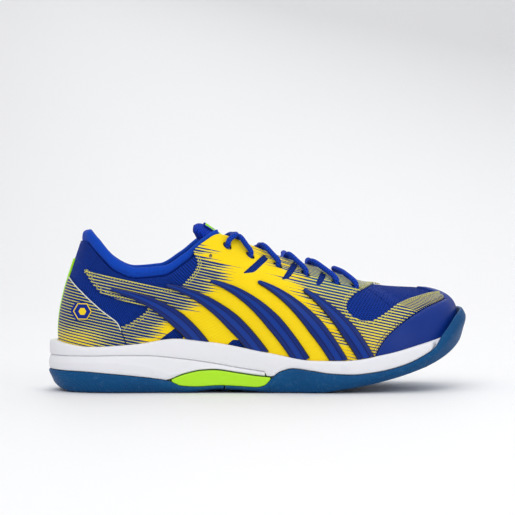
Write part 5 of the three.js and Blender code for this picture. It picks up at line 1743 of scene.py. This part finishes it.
LABEL_LENGTH, LABEL_WIDTH, LABEL_CORNER = 24.0, 17.0, 2.0
label_weave = woven_label()
end = 0.955
start = end - LABEL_LENGTH / tongue_along[-1]
middle = (start + end) / 2
s = np.linspace(start, end, 30)[:, None]
from_middle = (s - middle) * tongue_along[-1]
corner = np.clip(np.abs(from_middle) - LABEL_LENGTH / 2 + LABEL_CORNER, 0, LABEL_CORNER)
half_width = LABEL_WIDTH / 2 - LABEL_CORNER + np.sqrt(LABEL_CORNER**2 - corner**2)
w = np.linspace(-1, 1, 22)[None, :] * half_width / (TONGUE_HALF_WIDTH * tongue_half(s))
swell = 0.06 * np.sin(np.linspace(0, 9, 30))[:, None] + 0 * w
top = on_tongue(s, w, -1.1 - swell)
points, faces = slab(top, on_tongue(s, w, -0.2 + 0 * w))
uv = np.stack([np.broadcast_to(from_middle, w.shape), top[..., 1]], axis=-1).reshape(-1, 2)
new_piece("tongue_label", points, faces, label_weave, "label_weave", "tongue", np.vstack([uv, uv]))

# ---- Lace and aglets ----
# One round braided cord, 0.93 m long, threaded through six rows of eyelets and crossed over the tongue. Its
# tips are tucked in beside the tongue, and each is bound in a clear plastic aglet.
LACE_RADIUS = 1.9
OVER = OVERLAY_TOP + GLUE + LACE_RADIUS + 0.7
UNDER = LINING_BASE - GLUE - LACE_RADIUS - 0.4
AGLET_LENGTH = 16.0
AGLET_RADIUS = 1.5
TAIL = [
    (0.21, -0.36, -7.2), (0.17, -0.35, -7.1), (0.135, -0.34, -6.9), (0.1, -0.31, -6.9), (0.065, -0.26, -6.9),
    (0.035, -0.17, -7), (0.014, -0.07, -6.8),
]
LEAD = 0.02


def eye(side, i, depth, ds=0.0, dv=0.0):
    rise = min(eyelet_v[i] + dv, 1.0)
    return skin(around(side, eyelet_s[i] + ds), rise, depth).reshape(3)


def edge(i):
    return 1 - eyelet_v[i]


def core(side, i):
    return [eye(side, i, OVERLAY_TOP + 1.4), eye(side, i, LINING_BASE - 1.4)]


def outside(side, i, lean):
    return [
        eye(side, i, OVER - 0.3, 0, 0.14 * edge(i)),
        eye(side, i, OVER + 0.2, 0.3 * lean * LEAD, 0.45 * edge(i)),
        eye(side, i, OVER + 0.4, lean * LEAD, edge(i)),
    ]


def behind(side, i, lean):
    return [
        eye(side, i, UNDER - 0.3, 0.3 * lean * LEAD, 0.35 * edge(i)),
        eye(side, i, UNDER - 0.1, 0.9 * lean * LEAD, edge(i)),
    ]


def crossing(i, j, share, level):
    x = float(crest_x(eyelet_s[i] * (1 - share) + eyelet_s[j] * share))
    z = float(np.interp(-x, -tongue_line[:, 0], tongue_line[:, 2]))
    return np.array([x, float(spine(x)), z + LACE_RADIUS + 1 + level * (2 * LACE_RADIUS + 0.5)])


def strand(first):
    """One half of the lace, from its end through the eyelets down to the front row."""
    way = [eye(first, 0, depth, ds, dv) for ds, dv, depth in TAIL]
    way += [*core(first, 0)[::-1], *outside(first, 0, 1)]
    level = 1 if first == LATERAL else 0
    side = first
    for row in range(1, 5):
        way.append(crossing(row - 1, row, 0.55, level))
        side = -side
        way += [*outside(side, row, -1)[::-1], *core(side, row), *behind(side, row, 1)]
    way.append(crossing(4, 5, 0.5, level))
    side = -side
    way += [*behind(side, 5, -0.4)[::-1], *core(side, 5)[::-1]]
    way.append(eye(side, 5, OVER, 0, 0.5 * edge(5)))
    return way


bar_x = float(crest_x(eyelet_s[5]))
bar = np.array([bar_x, float(spine(bar_x)), crest_z(eyelet_s[5]) + OVER])
lace_line = flowing([*strand(LATERAL), bar, *strand(MEDIAL)[::-1]], per=24)
lace_line = resampled(lace_line, 0.9, closed=False)


def braided(name, light, deep):
    """Round braid: two families of strands that cross on the slant."""
    f = Finish(name, Roughness=0.7, Specular_IOR_Level=0.12, Sheen_Weight=0.03)
    a, b = f.cloth_axes()
    b = f.times(b, 2 * math.pi / 12)
    one = f.sine(f.plus(f.times(b, 4), f.times(a, 3.2)))
    two = f.sine(f.minus(f.times(b, 4), f.times(a, 3.2)))
    over = f.scaled(f.most(one, two), 0.5, 0.5)
    # The strands are painted light on top and deep where they pass under: painted highlight and shade.
    f.colour(f.mix(f.ramp(over, 0.35, 0.95), deep, light))
    f.relief(over, 0.00025)
    return f.material


lace_weave = braided("lace braid", (0.004, 0.055, 0.5), (0.001, 0.016, 0.2))
points, faces, uv = tube(lace_line, LACE_RADIUS, sides=10)
new_piece("lace", points, faces, lace_weave, "lace_weave", uv=uv, angle=70)
aglet_plastic = plain(
    "aglet plastic", (0.7, 0.76, 0.85), (0.8, 0.85, 0.92), 200.0,
    Roughness=0.2, Specular_IOR_Level=0.6, Coat_Weight=0.4,
)
AGLET_STEPS = 14
CRIMP = 0.93
for name, tip, inward in (("aglet_lateral", 0, 3), ("aglet_medial", -1, -4)):
    way = lace_line[tip] - lace_line[inward]
    way /= np.linalg.norm(way)
    path = lace_line[tip] + way * (GLUE + np.linspace(0.5, AGLET_LENGTH - 0.8, AGLET_STEPS)[:, None])
    size = np.full(AGLET_STEPS, AGLET_RADIUS)
    size[1:3] *= CRIMP
    points, faces, uv = tube(path, size, sides=AGLET_STEPS)
    new_piece(name, points, faces, aglet_plastic, "aglet_plastic", uv=uv, angle=60)


# ---- Studio ----
# A pale floor that curves up behind the shoe, four broad soft lamps, and a camera that sees the shoe from its
# outer side.
middle = Vector((-0.0047, -0.045, 0.0947))
AZIMUTH, ELEVATION = math.radians(-4.5), math.radians(1.5)
DISTANCE = 1.5
LENS = 151
camera = bpy.data.objects.new("camera", bpy.data.cameras.new("camera"))
bpy.context.scene.collection.objects.link(camera)
level = math.cos(ELEVATION)
back = Vector((math.sin(AZIMUTH) * level, -math.cos(AZIMUTH) * level, math.sin(ELEVATION)))
camera.location = middle + back * DISTANCE
camera.rotation_mode = "QUATERNION"
camera.rotation_quaternion = (-back).to_track_quat("-Z", "Y")
camera.data.lens = LENS
camera.data.clip_end = 20
bpy.context.scene.camera = camera
bpy.context.scene.view_settings.view_transform = "Standard"

pale = plain("pale floor", (0.86, 0.86, 0.86), (0.87, 0.87, 0.87), 3.0, Roughness=0.6)
sweep = [(-3.0, 0.0), (0.0, 0.0), (0.9, 0.0), (1.2, 0.0), (1.7, 0.08), (2.1, 0.35), (2.3, 0.9), (2.35, 3.0)]
verts = [(x, y, z) for y, z in flowing(sweep, per=8) for x in (-4.0, 4.0)]
faces = [(i, i + 1, i + 3, i + 2) for i in range(0, len(verts) - 2, 2)]
floor_mesh = bpy.data.meshes.new("floor")
floor_mesh.from_pydata(verts, [], faces)
floor_mesh.shade_smooth()
floor_mesh.materials.append(pale)
floor = bpy.data.objects.new("floor", floor_mesh)
bpy.context.scene.collection.objects.link(floor)

LAMPS = [
    ("key", (-0.5, -1.6, 1.6), 1.4, 15),
    ("top", (0.2, 0.2, 2.0), 2.0, 14),
    ("fill", (1.3, -1.4, 0.9), 1.2, 6),
    ("rear", (0.4, 1.6, 1.2), 1.4, 7),
]
LAMP_TARGET = Vector((0, 0, 0.05))
for name, where, size, power in LAMPS:
    lamp = bpy.data.lights.new(name, "AREA")
    lamp.energy, lamp.size = power, size
    light = bpy.data.objects.new(name, lamp)
    bpy.context.scene.collection.objects.link(light)
    light.location = where
    light.rotation_mode = "QUATERNION"
    light.rotation_quaternion = (LAMP_TARGET - Vector(where)).to_track_quat("-Z", "Y")
world = bpy.data.worlds.new("studio")
bpy.context.scene.world = world
world.use_nodes = True
backdrop = world.node_tree.nodes["Background"].inputs
backdrop["Color"].default_value = (0.95, 0.96, 1.0, 1)
backdrop["Strength"].default_value = 0.54
